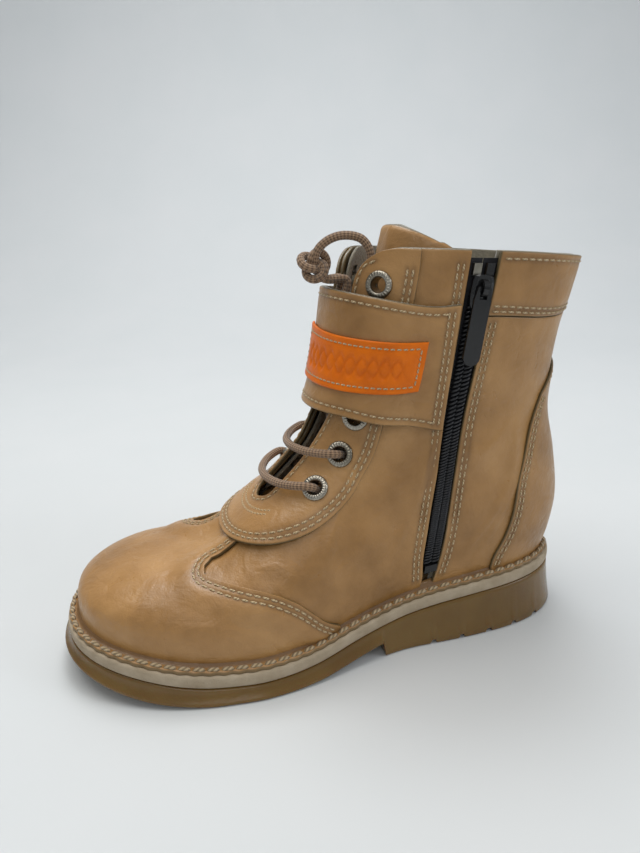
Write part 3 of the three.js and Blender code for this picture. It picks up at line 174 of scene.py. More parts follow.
def make_rings():
    """Rings round one half of the body: row 0 at the feather line, the last row at the collar."""
    t = np.linspace(0, 1, ROWS + 1)
    oy, oz, angle = curve(FRONT_Y, t), curve(FRONT_Z, t), np.radians(curve(FRONT_ANGLE, t))
    out = reach(lambda r: (0 * r, oy + r * np.cos(angle), oz + r * np.sin(angle)), np.full_like(t, 120))
    fy, fz = oy + out * np.cos(angle), oz + out * np.sin(angle)
    bz = lerp(BACK_LOW, BACK_HIGH, t)
    by = 45 + reach(lambda r: (0 * r, 45 + r, bz), np.full_like(t, 120))
    th = np.linspace(0, np.pi, RAYS + 1)[None, :]
    fy, fz, bz, by, t = (v[:, None] for v in (fy, fz, bz, by, t))

    def on_ray(r):
        y = (fy + by) / 2 - r * np.cos(th)
        u = (y - fy) / (by - fy)
        level = lerp(feather(fy), feather(by), u)
        return r * np.sin(th), y, lerp(fz, bz, u) + (1 - t) ** 2 * (feather(y) - level)

    raw = np.stack(on_ray(reach(on_ray, np.full((ROWS + 1, RAYS + 1), 140.0))), -1)
    grid = np.zeros((ROWS + 1, COLS + 1, 3))
    lengths = np.zeros(ROWS + 1)
    for i, row in enumerate(raw):
        run = run_along(row)
        grid[i] = resampled(row, run, np.linspace(0, run[-1], COLS + 1))
        lengths[i] = run[-1]
    return grid, lengths


RINGS, RING_LENGTH = make_rings()


def grid_point(t, u):
    ti, ui = np.clip(t, 0, 1) * ROWS, np.clip(u, 0, 1) * COLS
    i, j = np.minimum(ti.astype(int), ROWS - 1), np.minimum(ui.astype(int), COLS - 1)
    ft, fu = (ti - i)[..., None], (ui - j)[..., None]
    low = lerp(RINGS[i, j], RINGS[i, j + 1], fu)
    return lerp(low, lerp(RINGS[i + 1, j], RINGS[i + 1, j + 1], fu), ft)


def skin(t, a):
    """A point of the skin: a is 0 at the front centre, 1 at the back centre, negative on the outer side."""
    t, a = np.broadcast_arrays(np.asarray(t, float), np.asarray(a, float))
    b = (a + 1) % 2 - 1
    p = grid_point(t, np.abs(b))
    beyond = np.maximum(t - 1, 0)[..., None] / 0.05
    p = p + beyond * (p - grid_point(np.full_like(t, 0.95), np.abs(b)))
    x = np.where(b < 0, -1, 1) * p[..., 0] + curve(CENTRE, p[..., 1])
    return np.stack([x, p[..., 1], p[..., 2]], -1)


def normal(p):
    def field(q):
        return body_field(q[..., 0] - curve(CENTRE, q[..., 1]), q[..., 1], q[..., 2])
    nudges = 0.25 * np.eye(3)
    return unit(np.stack([field(p + nudge) - field(p - nudge) for nudge in nudges], -1))


def above(t, a, d):
    p = skin(t, a)
    return p + normal(p) * np.asarray(d, float)[..., None]


def share(t, mm):
    """The part of the half ring at t that mm takes up."""
    return mm / np.interp(t, np.linspace(0, 1, ROWS + 1), RING_LENGTH)


# ---------- lines on the skin, as [t, a]
def rail(points, count=200):
    """A smooth line through points [t, a], as `count` points an even way apart."""
    p = np.asarray(points, float)
    scale = np.array([120, 130])
    run = run_along(p * scale)
    fine = np.linspace(0, run[-1], 900)
    q = np.stack([curve((run, column), fine) for column in p.T], -1)
    run = run_along(q * scale)
    return resampled(q, run, np.linspace(0, run[-1], count))


def moved(line, mm):
    """A line on the skin moved sideways along it by mm; a positive move is to the left, seen from outside."""
    t, a = line[:, 0], line[:, 1]
    p = skin(t, a)
    along = unit(np.gradient(p, axis=0))
    side = np.cross(normal(p), along)
    e = 0.004
    by_t = (skin(t + e, a) - skin(t - e, a)) / (2 * e)
    by_a = (skin(t, a + e) - skin(t, a - e)) / (2 * e)
    tt, ta, aa = (by_t * by_t).sum(-1), (by_t * by_a).sum(-1), (by_a * by_a).sum(-1)
    st, sa = (side * by_t).sum(-1) * mm, (side * by_a).sum(-1) * mm
    det = tt * aa - ta * ta
    return line + np.stack([(st * aa - sa * ta) / det, (sa * tt - st * ta) / det], -1)


ZIP_OPEN = ([0, 0.03, 0.1, 0.3, 0.5, 0.7, 0.9, 1], [2.2, 2.4, 3.5, 3.6, 3.6, 4, 4.6, 4.95])


def zip_mid(t):
    """The zip's centre line, straight in the side view."""
    t = np.clip(np.asarray(t, float), 0, 1)
    front, rear = np.full_like(t, 0.3), np.full_like(t, 0.7)
    for _ in range(24):
        a = (front + rear) / 2
        p = skin(t, a)
        ahead = p[..., 1] < 26.2 + 0.126 * p[..., 2]
        front, rear = np.where(ahead, a, front), np.where(ahead, rear, a)
    return front


def zip_side(t, side, extra=0.0):
    return zip_mid(t) + side * share(np.clip(t, 0, 1), curve(ZIP_OPEN, t) + extra)


def zip_point(t, across, d):
    return above(t, zip_mid(t) + share(t, across), d)


WING_HALF = [[0.42, 0.045], [0.42, 0.086], [0.34, 0.09], [0.28, 0.098], [0.232, 0.122], [0.197, 0.152],
             [0.184, 0.188], [0.18, 0.22], [0.174, 0.25], [0.162, 0.285], [0.142, 0.325], [0.105, 0.385],
             [0.06, 0.45], [0.016, 0.502]]
WING_LOW = [0.045, 0.085, 0.105, 0.12, 0.138, 0.162, 0.19, 0.22, 0.25, 0.285, 0.325, 0.385, 0.45, 0.505]
QUARTER_FRONT = [[0, 0.516], [0.03, 0.472], [0.06, 0.412], [0.095, 0.345], [0.122, 0.28], [0.14, 0.21],
                 [0.165, 0.15], [0.21, 0.1], [0.28, 0.07], [0.36, 0.064], [0.44, 0.056], [0.5, 0.056],
                 [0.56, 0.064], [0.62, 0.07], [0.7, 0.092], [0.8, 0.09], [0.9, 0.09], [0.955, 0.098],
                 [0.985, 0.122], [1, 0.175]]
EYESTAY_INNER = [[1.0, 0.165], [0.985, 0.112], [0.955, 0.088], [0.9, 0.08], [0.8, 0.08], [0.7, 0.082],
                 [0.62, 0.06], [0.56, 0.054], [0.51, 0.044], [0.495, 0.02], [0.49, 0]]
EYESTAY_OUTER = [[1.0, 0.27], [0.95, 0.274], [0.85, 0.27], [0.75, 0.266], [0.65, 0.262], [0.56, 0.286],
                 [0.48, 0.3], [0.42, 0.265], [0.392, 0.2], [0.38, 0.11], [0.372, 0]]
HEEL_EDGE = ([0, 0.1, 0.2, 0.3, 0.4, 0.5, 0.6], [0.794, 0.785, 0.77, 0.765, 0.77, 0.785, 0.81])


def mirrored(points):
    """A half line followed by its own mirror image on the other side of the foot."""
    return points + [[t, -a] for t, a in reversed(points[:-1])]


def collar_seam(a):
    return 0.868 - 0.03 * smooth(0.45, 0.8, np.abs((a + 1) % 2 - 1))


def collar_top(a):
    b = np.abs((a + 1) % 2 - 1)
    return 0.992 + 0.02 * smooth(0.08, 0.22, b) - 0.008 * smooth(0.5, 0.9, b)


# ---------- materials
def srgb(code):
    """An sRGB hex colour as linear red, green, blue and alpha."""
    channels = [int(code[i:i + 2], 16) / 255 for i in (0, 2, 4)]
    return [c / 12.92 if c < 0.04045 else ((c + 0.055) / 1.055) ** 2.4 for c in channels] + [1.0]


def node(tree, kind, links=(), **settings):
    """Adds a node: settings name its properties or, by input name, its sockets; links join other sockets."""
    made = tree.nodes.new(kind)
    for key, value in settings.items():
        if hasattr(made, key):
            setattr(made, key, value)
        else:
            made.inputs[key.replace("_", " ")].default_value = value
    for socket, source in dict(links).items():
        tree.links.new(source, made.inputs[socket])
    return made


def finish_of(name, color, roughness, **shader):
    """A material with its own surface shader, and the tree to build its pattern in."""
    made = bpy.data.materials.new(name)
    made.use_nodes = True
    tree = made.node_tree
    surface = tree.nodes["Principled BSDF"]
    surface.inputs["Base Color"].default_value = srgb(color)
    surface.inputs["Roughness"].default_value = roughness
    for key, value in shader.items():
        surface.inputs[key.replace("_", " ")].default_value = value
    made.diffuse_color = srgb(color)
    return made, tree, surface


def carried(tree, name):
    """A value that the mesh holds at each of its points."""
    return node(tree, "ShaderNodeAttribute", attribute_name=name).outputs["Fac"]


def ramp(tree, source, stops):
    made = node(tree, "ShaderNodeValToRGB", {"Fac": source})
    elements = made.color_ramp.elements
    while len(elements) < len(stops):
        elements.new(0.5)
    for element, (at, code) in zip(elements, stops):
        element.position = at
        element.color = srgb(code)
    return made.outputs["Color"]


MIX_A, MIX_B = 6, 7  # the two colour inputs of a Mix node


def waxed_leather(name, light, middle, dark, roughness):
    """Full-grain cowhide with a wax finish: soft cloudy colour, fine pores, a dull shine on the crowns."""
    made, tree, surface = finish_of(name, middle, roughness, Specular_IOR_Level=0.5)
    where = node(tree, "ShaderNodeTexCoord").outputs["Object"]
    clouds = node(tree, "ShaderNodeTexNoise", {"Vector": where}, Scale=38.0, Detail=4.0, Roughness=0.55)
    base = ramp(tree, clouds.outputs["Fac"], [(0.28, dark), (0.5, middle), (0.74, light)])
    # darker by the seam attribute: along the pressed stitch rows, and painted shade in the fold where the
    # upper turns out onto the welt
    pressed = node(tree, "ShaderNodeMix", {0: carried(tree, "seam"), MIX_A: base}, data_type="RGBA")
    pressed.inputs[MIX_B].default_value = srgb("4A321C")
    worn = node(tree, "ShaderNodeMix", {0: carried(tree, "edge"), MIX_A: pressed.outputs[2]},
                data_type="RGBA")
    worn.inputs[MIX_B].default_value = srgb("5E5338")
    tree.links.new(worn.outputs[2], surface.inputs["Base Color"])
    # pores 0.5 mm apart and hair cells about 1.6 mm long, over broad soft wrinkles
    pores = node(tree, "ShaderNodeTexVoronoi", {"Vector": where}, Scale=1500.0)
    cells = node(tree, "ShaderNodeTexNoise", {"Vector": where}, Scale=420.0, Detail=5.0, Roughness=0.6)
    wrinkles = node(tree, "ShaderNodeTexNoise", {"Vector": where}, Scale=110.0, Detail=4.0, Distortion=1.2)
    fine = node(tree, "ShaderNodeBump", {"Height": pores.outputs["Distance"]}, Strength=0.16, Distance=0.0002)
    grain = node(tree, "ShaderNodeBump", {"Height": cells.outputs["Fac"], "Normal": fine.outputs[0]},
                 Strength=0.42, Distance=0.0006)
    soft = node(tree, "ShaderNodeBump", {"Height": wrinkles.outputs["Fac"], "Normal": grain.outputs[0]},
                Strength=0.3, Distance=0.0018)
    tree.links.new(soft.outputs["Normal"], surface.inputs["Normal"])
    shine = node(tree, "ShaderNodeMapRange", {"Value": wrinkles.outputs["Fac"]}, From_Min=0.3, From_Max=0.7,
                 To_Min=roughness - 0.07, To_Max=roughness + 0.12)
    tree.links.new(shine.outputs["Result"], surface.inputs["Roughness"])
    return made


def plain_textured(name, color, second, roughness, scale, bump, detail=4.0, **shader):
    """A finish with a mottled colour and a fine bump; scale is in cycles per metre, bump in metres."""
    made, tree, surface = finish_of(name, color, roughness, **shader)
    where = node(tree, "ShaderNodeTexCoord").outputs["Object"]
    mottle = node(tree, "ShaderNodeTexNoise", {"Vector": where}, Scale=scale / 6, Detail=3.0)
    blend = ramp(tree, mottle.outputs["Fac"], [(0.3, color), (0.72, second)])
    tree.links.new(blend, surface.inputs["Base Color"])
    grit = node(tree, "ShaderNodeTexNoise", {"Vector": where}, Scale=scale, Detail=detail, Roughness=0.7)
    relief = node(tree, "ShaderNodeBump", {"Height": grit.outputs["Fac"]}, Strength=0.7, Distance=bump)
    tree.links.new(relief.outputs["Normal"], surface.inputs["Normal"])
    return made


def wound(name, color, second, roughness, turns, strands):
    """Thread or braid: strands that wind round, from the "along" and "around" attributes; the colour darkens
    where they dip, as painted shade between the strands.
    """
    made, tree, surface = finish_of(name, color, roughness, Sheen_Weight=0.25, Sheen_Roughness=0.5)

    def sum_up(operation, *sources):
        return node(tree, "ShaderNodeMath", dict(enumerate(sources)), operation=operation).outputs[0]

    def angle(name, turn_count):
        out = sum_up("MULTIPLY", carried(tree, name))
        out.node.inputs[1].default_value = turn_count * 2 * math.pi
        return out

    signs = (1, -1) if strands > 2 else (1,)
    waves = [sum_up("SINE", sum_up("ADD", angle("along", turns), angle("around", sign * strands)))
             for sign in signs]
    weave = sum_up("MULTIPLY", *waves) if len(waves) > 1 else waves[0]
    level = node(tree, "ShaderNodeMapRange", {"Value": weave}, From_Min=-1.0, From_Max=1.0).outputs["Result"]
    # painted shade: the colour goes to the dark one (second) where the bump is low, in the grooves between
    # the strands
    tree.links.new(ramp(tree, level, [(0.15, second), (0.7, color)]), surface.inputs["Base Color"])
    relief = node(tree, "ShaderNodeBump", {"Height": level}, Strength=0.8, Distance=0.00035)
    tree.links.new(relief.outputs["Normal"], surface.inputs["Normal"])
    return made


# full-grain cowhide, vegetable dyed, waxed and polished by hand
tan_leather = waxed_leather("tan_waxed_cowhide", "B68B57", "A27846", "876133", 0.34)
# vegetable-tanned sock leather: paler, dry and without wax
sock_leather = waxed_leather("vegetable_tanned_sock_leather", "B8956A", "A4825A", "8E6E4A", 0.6)
# dyed split leather with a smooth plastic top coat: flat strong orange with a soft gloss
orange_leather = plain_textured("orange_coated_split_leather", "E57200", "D26400", 0.42, 900, 0.0002,
                                Specular_IOR_Level=0.25)
# pressed wool and viscose felt: matt, fuzzy, olive grey
felt = plain_textured("olive_wool_felt_lining", "6B6350", "857C66", 0.95, 1300, 0.0008, 6.0,
                      Sheen_Weight=0.6, Sheen_Roughness=0.6)
# cast natural gum rubber: amber brown, light comes a little way into it
gum_rubber = plain_textured("cast_amber_gum_rubber", "765A2A", "664A1E", 0.24, 260, 0.0003,
                            Subsurface_Weight=0.25, Subsurface_Scale=0.004)
# skived microcellular welt: dry taupe with a fine ground surface
welt_rubber = plain_textured("ground_microcellular_welt", "B2A28B", "9F8E76", 0.78, 1100, 0.0004)
# cellulose board pressed with latex: dull brown, fibrous
fibre_board = plain_textured("pressed_fibre_board", "9C8462", "836C4E", 0.9, 900, 0.0003)
# cold-rolled spring steel strip: grey, evenly dull
steel = plain_textured("cold_rolled_spring_steel", "8C8C88", "7A7A76", 0.35, 700, 0.00005, Metallic=1.0)
# antique nickel plate on brass: warm grey, worn bright on the crowns
nickel = plain_textured("antique_nickel_plate", "B4AEA2", "7E786C", 0.3, 700, 0.0001, Metallic=1.0)
# cream polyester sewing thread, bonded, three ply
thread = wound("cream_bonded_polyester_thread", "D2BB92", "A98D63", 0.6, 900, 2)
# linen thread drawn through wax: darker and thicker
welt_thread = wound("waxed_linen_welt_thread", "B59F7C", "7E6B4E", 0.7, 500, 2)
# round cotton braid over a core: matt, dusty brown
braid = wound("dusty_brown_braided_cotton", "9A7C60", "5C4634", 0.85, 420, 6)
# woven polyester zip tape: matt black ribs
tape_black = plain_textured("black_woven_zip_tape", "17161A", "26252A", 0.85, 1500, 0.0004)
# drawn nylon monofilament: black, a little glossy
coil_black = plain_textured("black_nylon_coil", "101013", "1B1B1F", 0.35, 500, 0.0001)
# die-cast zinc with black stoving enamel: hard gloss, thin at the corners
enamel_black = plain_textured("black_enamelled_zinc", "0E0E10", "1C1B1B", 0.22, 400, 0.00008)
# hook-and-loop tape: a dense black nylon pile
hook_black = plain_textured("black_hook_and_loop_nylon", "121214", "242428", 0.9, 2200, 0.0009)
# seamless background paper: matt, nearly white
paper_floor = plain_textured("matt_paper_sweep", "CFD1D2", "CCCFD0", 0.7, 60, 0.00002)


# ---------- mesh making
def place(points):
    return (np.asarray(points, float) + SHIFT) / 1000


def link(made):
    bpy.context.scene.collection.objects.link(made)


def solid(name, points, faces, material, body, slot, stands_for=(), **attributes):
    """A mesh piece from points in mm; it rides on a body and may stand for CAD nodes."""
    mesh = bpy.data.meshes.new(name)
    mesh.from_pydata(place(points).tolist(), [], [list(map(int, f)) for f in faces])
    mesh.update()
    for key, values in attributes.items():
        mesh.attributes.new(key, "FLOAT", "POINT").data.foreach_set("value", np.asarray(values, np.float32))
    mesh.materials.append(material)
    mesh.polygons.foreach_set("use_smooth", [True] * len(mesh.polygons))
    made = bpy.data.objects.new(name, mesh)
    link(made)
    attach(made, body)
    if stands_for:
        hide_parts(*stands_for)
    return made


def grid_faces(rows, cols, start=0, wrap=False):
    r, c = np.meshgrid(np.arange(rows - 1), np.arange(cols if wrap else cols - 1), indexing="ij")
    n = (c + 1) % cols
    quads = np.stack([r * cols + c, r * cols + n, (r + 1) * cols + n, (r + 1) * cols + c], -1)
    return quads.reshape(-1, 4) + start


def steps(length, step):
    """Shares from 0 to 1 along a piece `length` mm long, closer together at its two rounded edges."""
    rim = np.array([0, 0.12, 0.35, 0.7, 1.2]) / length
    middle = np.linspace(rim[-1], 1 - rim[-1], max(3, int(length / step)))
    return np.r_[rim[:-1], middle, 1 - rim[:-1][::-1]]


def crease(p):
    """Soft folds that walking leaves across the ankle, in mm."""
    out = np.zeros(len(p))
    ankle = smooth(26, 44, p[:, 2]) * (1 - smooth(70, 88, p[:, 2])) * smooth(-52, -28, p[:, 1])
    for i in np.nonzero(ankle > 0.01)[0]:
        x, y, z = p[i]
        slant = Vector((x * 0.02, (y * 0.55 + z * 0.83) * 0.02, (z * 0.55 - y * 0.83) * 0.085))
        fold = 1 - abs(noise.noise(slant)) * 2.6
        out[i] = max(fold, 0) ** 3 * 0.85 + 0.75 * noise.noise(Vector((x, y, z)) * 0.06)
    return out * ankle


def gap_to(line, p):
    """How far each point p is from the nearest point of a line on the skin, worked out in blocks."""
    points = skin(line[:, 0], line[:, 1])
    blocks = [p[i:i + 4000] for i in range(0, len(p), 4000)]
    return np.concatenate([np.linalg.norm(block[:, None] - points[None], axis=2).min(1) for block in blocks])


def sheet_piece(name, place_at, length, width, low, high, material, body, slot, stands_for, rows=(), rim=0.6,
                step=1.1, open_at=(), creased=False):
    """A leather or cloth piece that follows the skin, with rounded edges and pressed seam lines."""
    us, vs = steps(length, step), steps(width, step)
    u, v = np.meshgrid(us, vs)
    t, a = place_at(u.ravel(), v.ravel())
    p = skin(t, a)
    n = normal(p)
    du = np.minimum(u, 1 - u).ravel() * length
    dv = np.minimum(v, 1 - v).ravel() * width
    from_rim = np.minimum(du, dv)
    round_off = rim * (1 - np.sqrt(np.clip(1 - (1 - np.clip(from_rim / rim, 0, 1)) ** 2, 0, 1)))
    pressed = np.zeros(len(p))
    for line in rows:
        pressed = np.maximum(pressed, np.exp(-(gap_to(line, p) / 0.85) ** 2))
    lift = crease(p) if creased else 0
    top, base = high(t, a), low(t, a)
    outer = p + n * (top - round_off - 0.22 * pressed + lift)[:, None]
    inner = p + n * (base + 0.15 * (from_rim < 0.2) + lift)[:, None]
    count = len(p)
    faces = [grid_faces(len(vs), len(us)), grid_faces(len(vs), len(us), count)[:, ::-1]]
    ring = np.r_[np.arange(len(us)), np.arange(2, len(vs)) * len(us) - 1,
                 np.arange(len(vs) * len(us) - 1, (len(vs) - 1) * len(us) - 1, -1),
                 np.arange(len(vs) - 2, 0, -1) * len(us)]
    after = np.roll(ring, -1)
    faces.append(np.stack([after, ring, ring + count, after + count], -1))
    faces = np.concatenate(faces)
    points = np.concatenate([outer, inner])
    middle = points[faces].mean(1)
    keep = np.ones(len(faces), bool)
    for centre in open_at:
        keep &= np.linalg.norm(middle - centre, axis=1) > HOLE_R
    edge = np.concatenate([np.exp(-(from_rim / 0.22) ** 2), np.full(count, 0.9)])
    return solid(name, points, faces[keep], material, body, slot, stands_for,
                 edge=edge, seam=np.concatenate([pressed * 0.45, np.zeros(count)]))


def capsules(name, centres, along, ups, length, radius, material, body, slot):
    """A row of stitches as one mesh: each a short rounded strand, its ends bent down into the leather."""
    sides, parts = 8, 7
    s = np.linspace(-1, 1, parts)
    th = np.linspace(0, 2 * np.pi, sides, endpoint=False)
    fat = np.sqrt(np.clip(1 - np.abs(s) ** 5, 0.05, 1))
    side = np.cross(ups, along)
    points, faces, runs, turns = [], [], [], []
    for k, (c, f, w, h) in enumerate(zip(centres, along, side, ups)):
        ring = []
        for i in range(parts):
            drop = -0.55 * radius * s[i] ** 4
            round_ = radius * fat[i] * (np.cos(th)[:, None] * w + np.sin(th)[:, None] * h * 0.85)
            ring.append(c + f * s[i] * length / 2 + h * drop + round_)
        points.append(np.concatenate(ring))
        start = k * parts * sides
        faces.append(grid_faces(parts, sides, start, True))
        runs.append(np.repeat(s * length / 2000, sides))
        turns.append(np.tile(th / (2 * np.pi), parts))
    faces = [list(f) for f in np.concatenate(faces)]
    for start in range(0, len(centres) * parts * sides, parts * sides):
        faces.append(list(range(start + sides - 1, start - 1, -1)))
        faces.append(list(range(start + (parts - 1) * sides, start + parts * sides)))
    return solid(name, np.concatenate(points), faces, material, body, slot,
                 along=np.concatenate(runs), around=np.concatenate(turns))


def even_points(points, pitch):
    run = run_along(points)
    want = np.linspace(0, run[-1], max(3, round(run[-1] / pitch) + 1))
    return resampled(points, run, (want[1:] + want[:-1]) / 2)


def sew(name, line, height, body="boot", pitch=ROW_PITCH, radius=THREAD_R):
    """A row of stitches along a line on the skin, at the height of the leather there."""
    t, a = line[:, 0], line[:, 1]
    level = np.broadcast_to(height(t, a) if callable(height) else height, t.shape)
    points = even_points(above(t, a, level), pitch)
    along = unit(np.gradient(points, axis=0))
    ups = normal(points)
    ups = unit(ups - along * (ups * along).sum(-1, keepdims=True))
    return capsules(name, points - ups * 0.08, along, ups, pitch * 0.8, radius, thread, body, "lace_cord")


def sew_rows(name, rows, height, *more):
    for k, row in enumerate(rows):
        sew(f"{name}_{k + 1}", row, height, *more)


def tube(name, path, radius, material, body, slot, stands_for, sides):
    """A round cord along a path in mm, with how far along and round it each point lies."""
    path = np.asarray(path, float)
    along = unit(np.gradient(path, axis=0))
    w = unit(np.cross(along[0], [0.3, 0.2, 0.93]))
    run = run_along(path)
    th = np.linspace(0, 2 * np.pi, sides, endpoint=False)
    rings = []
    for p, f in zip(path, along):
        w = unit(w - f * (w @ f))
        h = np.cross(f, w)
        rings.append(p + radius * (np.cos(th)[:, None] * w + np.sin(th)[:, None] * h))
    faces = [list(f) for f in grid_faces(len(path), sides, 0, True)]
    faces.append(list(range(sides - 1, -1, -1)))
    faces.append(list(range((len(path) - 1) * sides, len(path) * sides)))
    return solid(name, np.concatenate(rings), faces, material, body, slot, stands_for,
                 along=np.repeat(run / 1000, sides), around=np.tile(th / (2 * np.pi), len(path)))


SPLINE_STEP = 0.6


def spline(points):
    """A smooth path through points, in even steps."""
    p = np.asarray(points, float)
    run = np.r_[0, np.cumsum(np.sqrt(np.linalg.norm(np.diff(p, axis=0), axis=1)))]
    fine = np.linspace(0, run[-1], 60 * len(p))
    q = np.stack([curve((run, column), fine) for column in p.T], -1)
    run = run_along(q)
    return resampled(q, run, np.linspace(0, run[-1], int(run[-1] / SPLINE_STEP)))


# ---------- camera, lights and floor
def studio():
    """A camera that sees the toe and inner side, three soft lights, one more on the wall, a paper sweep."""
    yaw, pitch, roll = 1.30098, 0.29793, -0.02296
    forward = Vector((-math.sin(yaw) * math.cos(pitch), math.cos(yaw) * math.cos(pitch), -math.sin(pitch)))
    level = Vector((math.cos(yaw), math.sin(yaw), 0))
    up = level.cross(forward)
    right = level * math.cos(roll) + up * math.sin(roll)
    over = up * math.cos(roll) - level * math.sin(roll)
    camera = bpy.data.objects.new("camera", bpy.data.cameras.new("camera"))
    camera.data.sensor_fit = "HORIZONTAL"
    camera.data.sensor_width = 36
    camera.data.lens = 36
    camera.data.clip_start = 0.01
    turn = Matrix((right, over, -forward)).transposed().to_4x4()
    camera.matrix_world = Matrix.Translation(place([216.97, -62.93, 147.26]).tolist()) @ turn
    link(camera)
    bpy.context.scene.camera = camera

    def softbox(name, at, aim, size, power, tint):
        data = bpy.data.lights.new(name, "AREA")
        data.shape = "DISK"
        data.size = size
        data.energy = power
        data.color = srgb(tint)[:3]
        lamp = bpy.data.objects.new(name, data)
        lamp.location = at
        lamp.rotation_euler = (Vector(aim) - Vector(at)).to_track_quat("-Z", "Y").to_euler()
        link(lamp)

    softbox("overhead_softbox", (-0.10, -0.15, 0.95), (0, 0, 0.05), 0.9, 6.0, "FFFDF8")
    softbox("front_softbox", (0.95, -0.25, 0.8), (0, 0, 0.07), 0.7, 1.7, "FFFFFF")
    softbox("heel_softbox", (0.5, 0.85, 0.6), (0, 0.02, 0.07), 0.5, 2.4, "F6FAFF")
    softbox("wall_softbox", (-0.7, 0.2, 1.7), (-1.1, 0.3, 0.6), 0.8, 11.0, "F8FBFF")
    world = bpy.data.worlds.new("studio_air")
    world.use_nodes = True
    air = world.node_tree.nodes["Background"].inputs
    air["Color"].default_value = srgb("E9EEF1")
    air["Strength"].default_value = 0.4
    bpy.context.scene.world = world
    bpy.context.scene.view_settings.view_transform = "Standard"

    # the sweep: flat floor, then a wide bend up behind the boot
    back = Vector((forward.x, forward.y, 0)).normalized()
    side = Vector((-back.y, back.x, 0))
    profile = [(-1.6, 0.0), (0.5, 0.0)]
    profile += [(0.5 + 0.6 * math.sin(k * math.pi / 24), 0.6 - 0.6 * math.cos(k * math.pi / 24))
                for k in range(1, 13)]
    profile += [(1.1, 2.4)]
    points = [back * d + side * s + Vector((0, 0, h)) for d, h in profile for s in (-2.5, 2.5)]
    faces = [(2 * i, 2 * i + 1, 2 * i + 3, 2 * i + 2) for i in range(len(profile) - 1)]
    mesh = bpy.data.meshes.new("paper_sweep")
    mesh.from_pydata(points, [], faces)
    mesh.polygons.foreach_set("use_smooth", [True] * len(mesh.polygons))
    mesh.materials.append(paper_floor)
    sweep = bpy.data.objects.new("paper_sweep", mesh)
    link(sweep)


# ---------- the lace
KNOT = np.array([3, -4.4, 136])
CORD = (braid, "boot", "lace_cord")


def lace():
    """One braided lace: through the two lower rows, up the slit to the knot, and a loop into the boot top."""
    t1, t2 = EYELET_T[:2]

    def through(t, side, inwards):
        shifts, heights = [0.020, 0.006, 0.001, 0, 0.004], [3.9, 2.2, -0.6, -3.2, -6.3]
        points = [above(t, side * (EYELET_A - s), d) for s, d in zip(shifts, heights)]
        return points if inwards else points[::-1]

    def bar(t, side):
        places = zip([0.13, 0.09, 0.04, 0, -0.04, -0.09, -0.13], [4.3, 4.5, 4.9, 5.1, 4.9, 4.5, 4.3])
        return [above(t, side * a, d) for a, d in places]

    def through_slit(points):
        return [above(t, a, d) for t, a, d in points]

    start = [KNOT + [1.2, 0.4, 0], KNOT + [1.4, 3.4, -4.6]]
    end = [KNOT + [-1.4, 3.4, -4.6], KNOT + [-1.2, 0.4, 0]]
    path = start + through_slit([[0.945, 0.028, -0.6], [0.9, 0.03, 0.2], [0.84, 0.03, 0.4], [0.77, 0.03, 0],
                                 [0.72, 0.034, -2.6], [0.68, 0.06, -5.4], [0.64, 0.13, -6]])
    path += through(t2, 1, False) + bar(t2, 1) + through(t2, -1, True)
    path += [above((t1 + t2) / 2, -EYELET_A + 0.004, -6.1)]
    path += through(t1, -1, False) + bar(t1, -1) + through(t1, 1, True)
    path += through_slit([[0.55, 0.12, -6.1], [0.6, 0.085, -6.1], [0.66, 0.02, -5.6], [0.7, -0.02, -3.8],
                          [0.75, -0.028, -0.6], [0.84, -0.03, 0.4], [0.9, -0.03, 0.2], [0.945, -0.026, -0.6]])
    tube("lace_run", spline(path + end), LACE_R, *CORD, ["lace"], 14)
    loop = [KNOT, [4, -3.6, 140.6], [5, 0, 144], [6.5, 5, 145.4], [8, 10.5, 144.2], [9, 13.2, 140],
            [9, 13.4, 134]]
    tube("lace_loop", spline(loop), LACE_R, *CORD, (), 14)
    u = np.linspace(0, 4 * np.pi, 161)
    swell = 3.9 * (2 + np.cos(1.5 * u)) * 0.5
    knot = np.stack([swell * np.cos(u) * 0.85, swell * np.sin(u) * 0.85, 3.9 * np.sin(1.5 * u) * 0.42], -1)
    turn = np.array(Matrix.Rotation(1.1, 3, "Y"))
    tube("lace_knot", knot @ turn.T + KNOT, LACE_R, *CORD, (), 14)


# ---------- the sole
OUTLINE = 900
outline_a = np.linspace(-1, 1, OUTLINE, endpoint=False)
outline_skin = skin(0, outline_a)
outline_out = unit(normal(outline_skin) * [1, 1, 0])


def rim_at(out, z):
    """A ring of points `out` mm outside the feather line, at height z above the welt's top there."""
    p = outline_skin + outline_out * np.broadcast_to(out, OUTLINE)[:, None]
    p[:, 2] = feather(p[:, 1]) + z
    return p


def under(y):
    """Underside of the outsole: toe spring and waist, then the heel with its grooves."""
    z = np.maximum(0, curve(SOLE_UNDER, y)) * (1 - smooth(BREAST_Y - 0.5, BREAST_Y + 0.5, y))
    for groove in GROOVE_Y:
        z = z + GROOVE_DEPTH * (1 - smooth(0.34, 0.5, np.abs(y - groove) / GROOVE_WIDTH))
    return z


def ring_piece(name, rings, material, slot, stands_for, **attributes):
    """A closed band round the whole outline; the last ring joins the first."""
    first, last = np.arange(OUTLINE), (len(rings) - 1) * OUTLINE + np.arange(OUTLINE)
    faces = np.concatenate([grid_faces(len(rings), OUTLINE, 0, True),
                            np.stack([last, np.roll(last, -1), np.roll(first, -1), first], -1)])
    return solid(name, np.concatenate(rings), faces, material, "boot", slot, stands_for, **attributes)


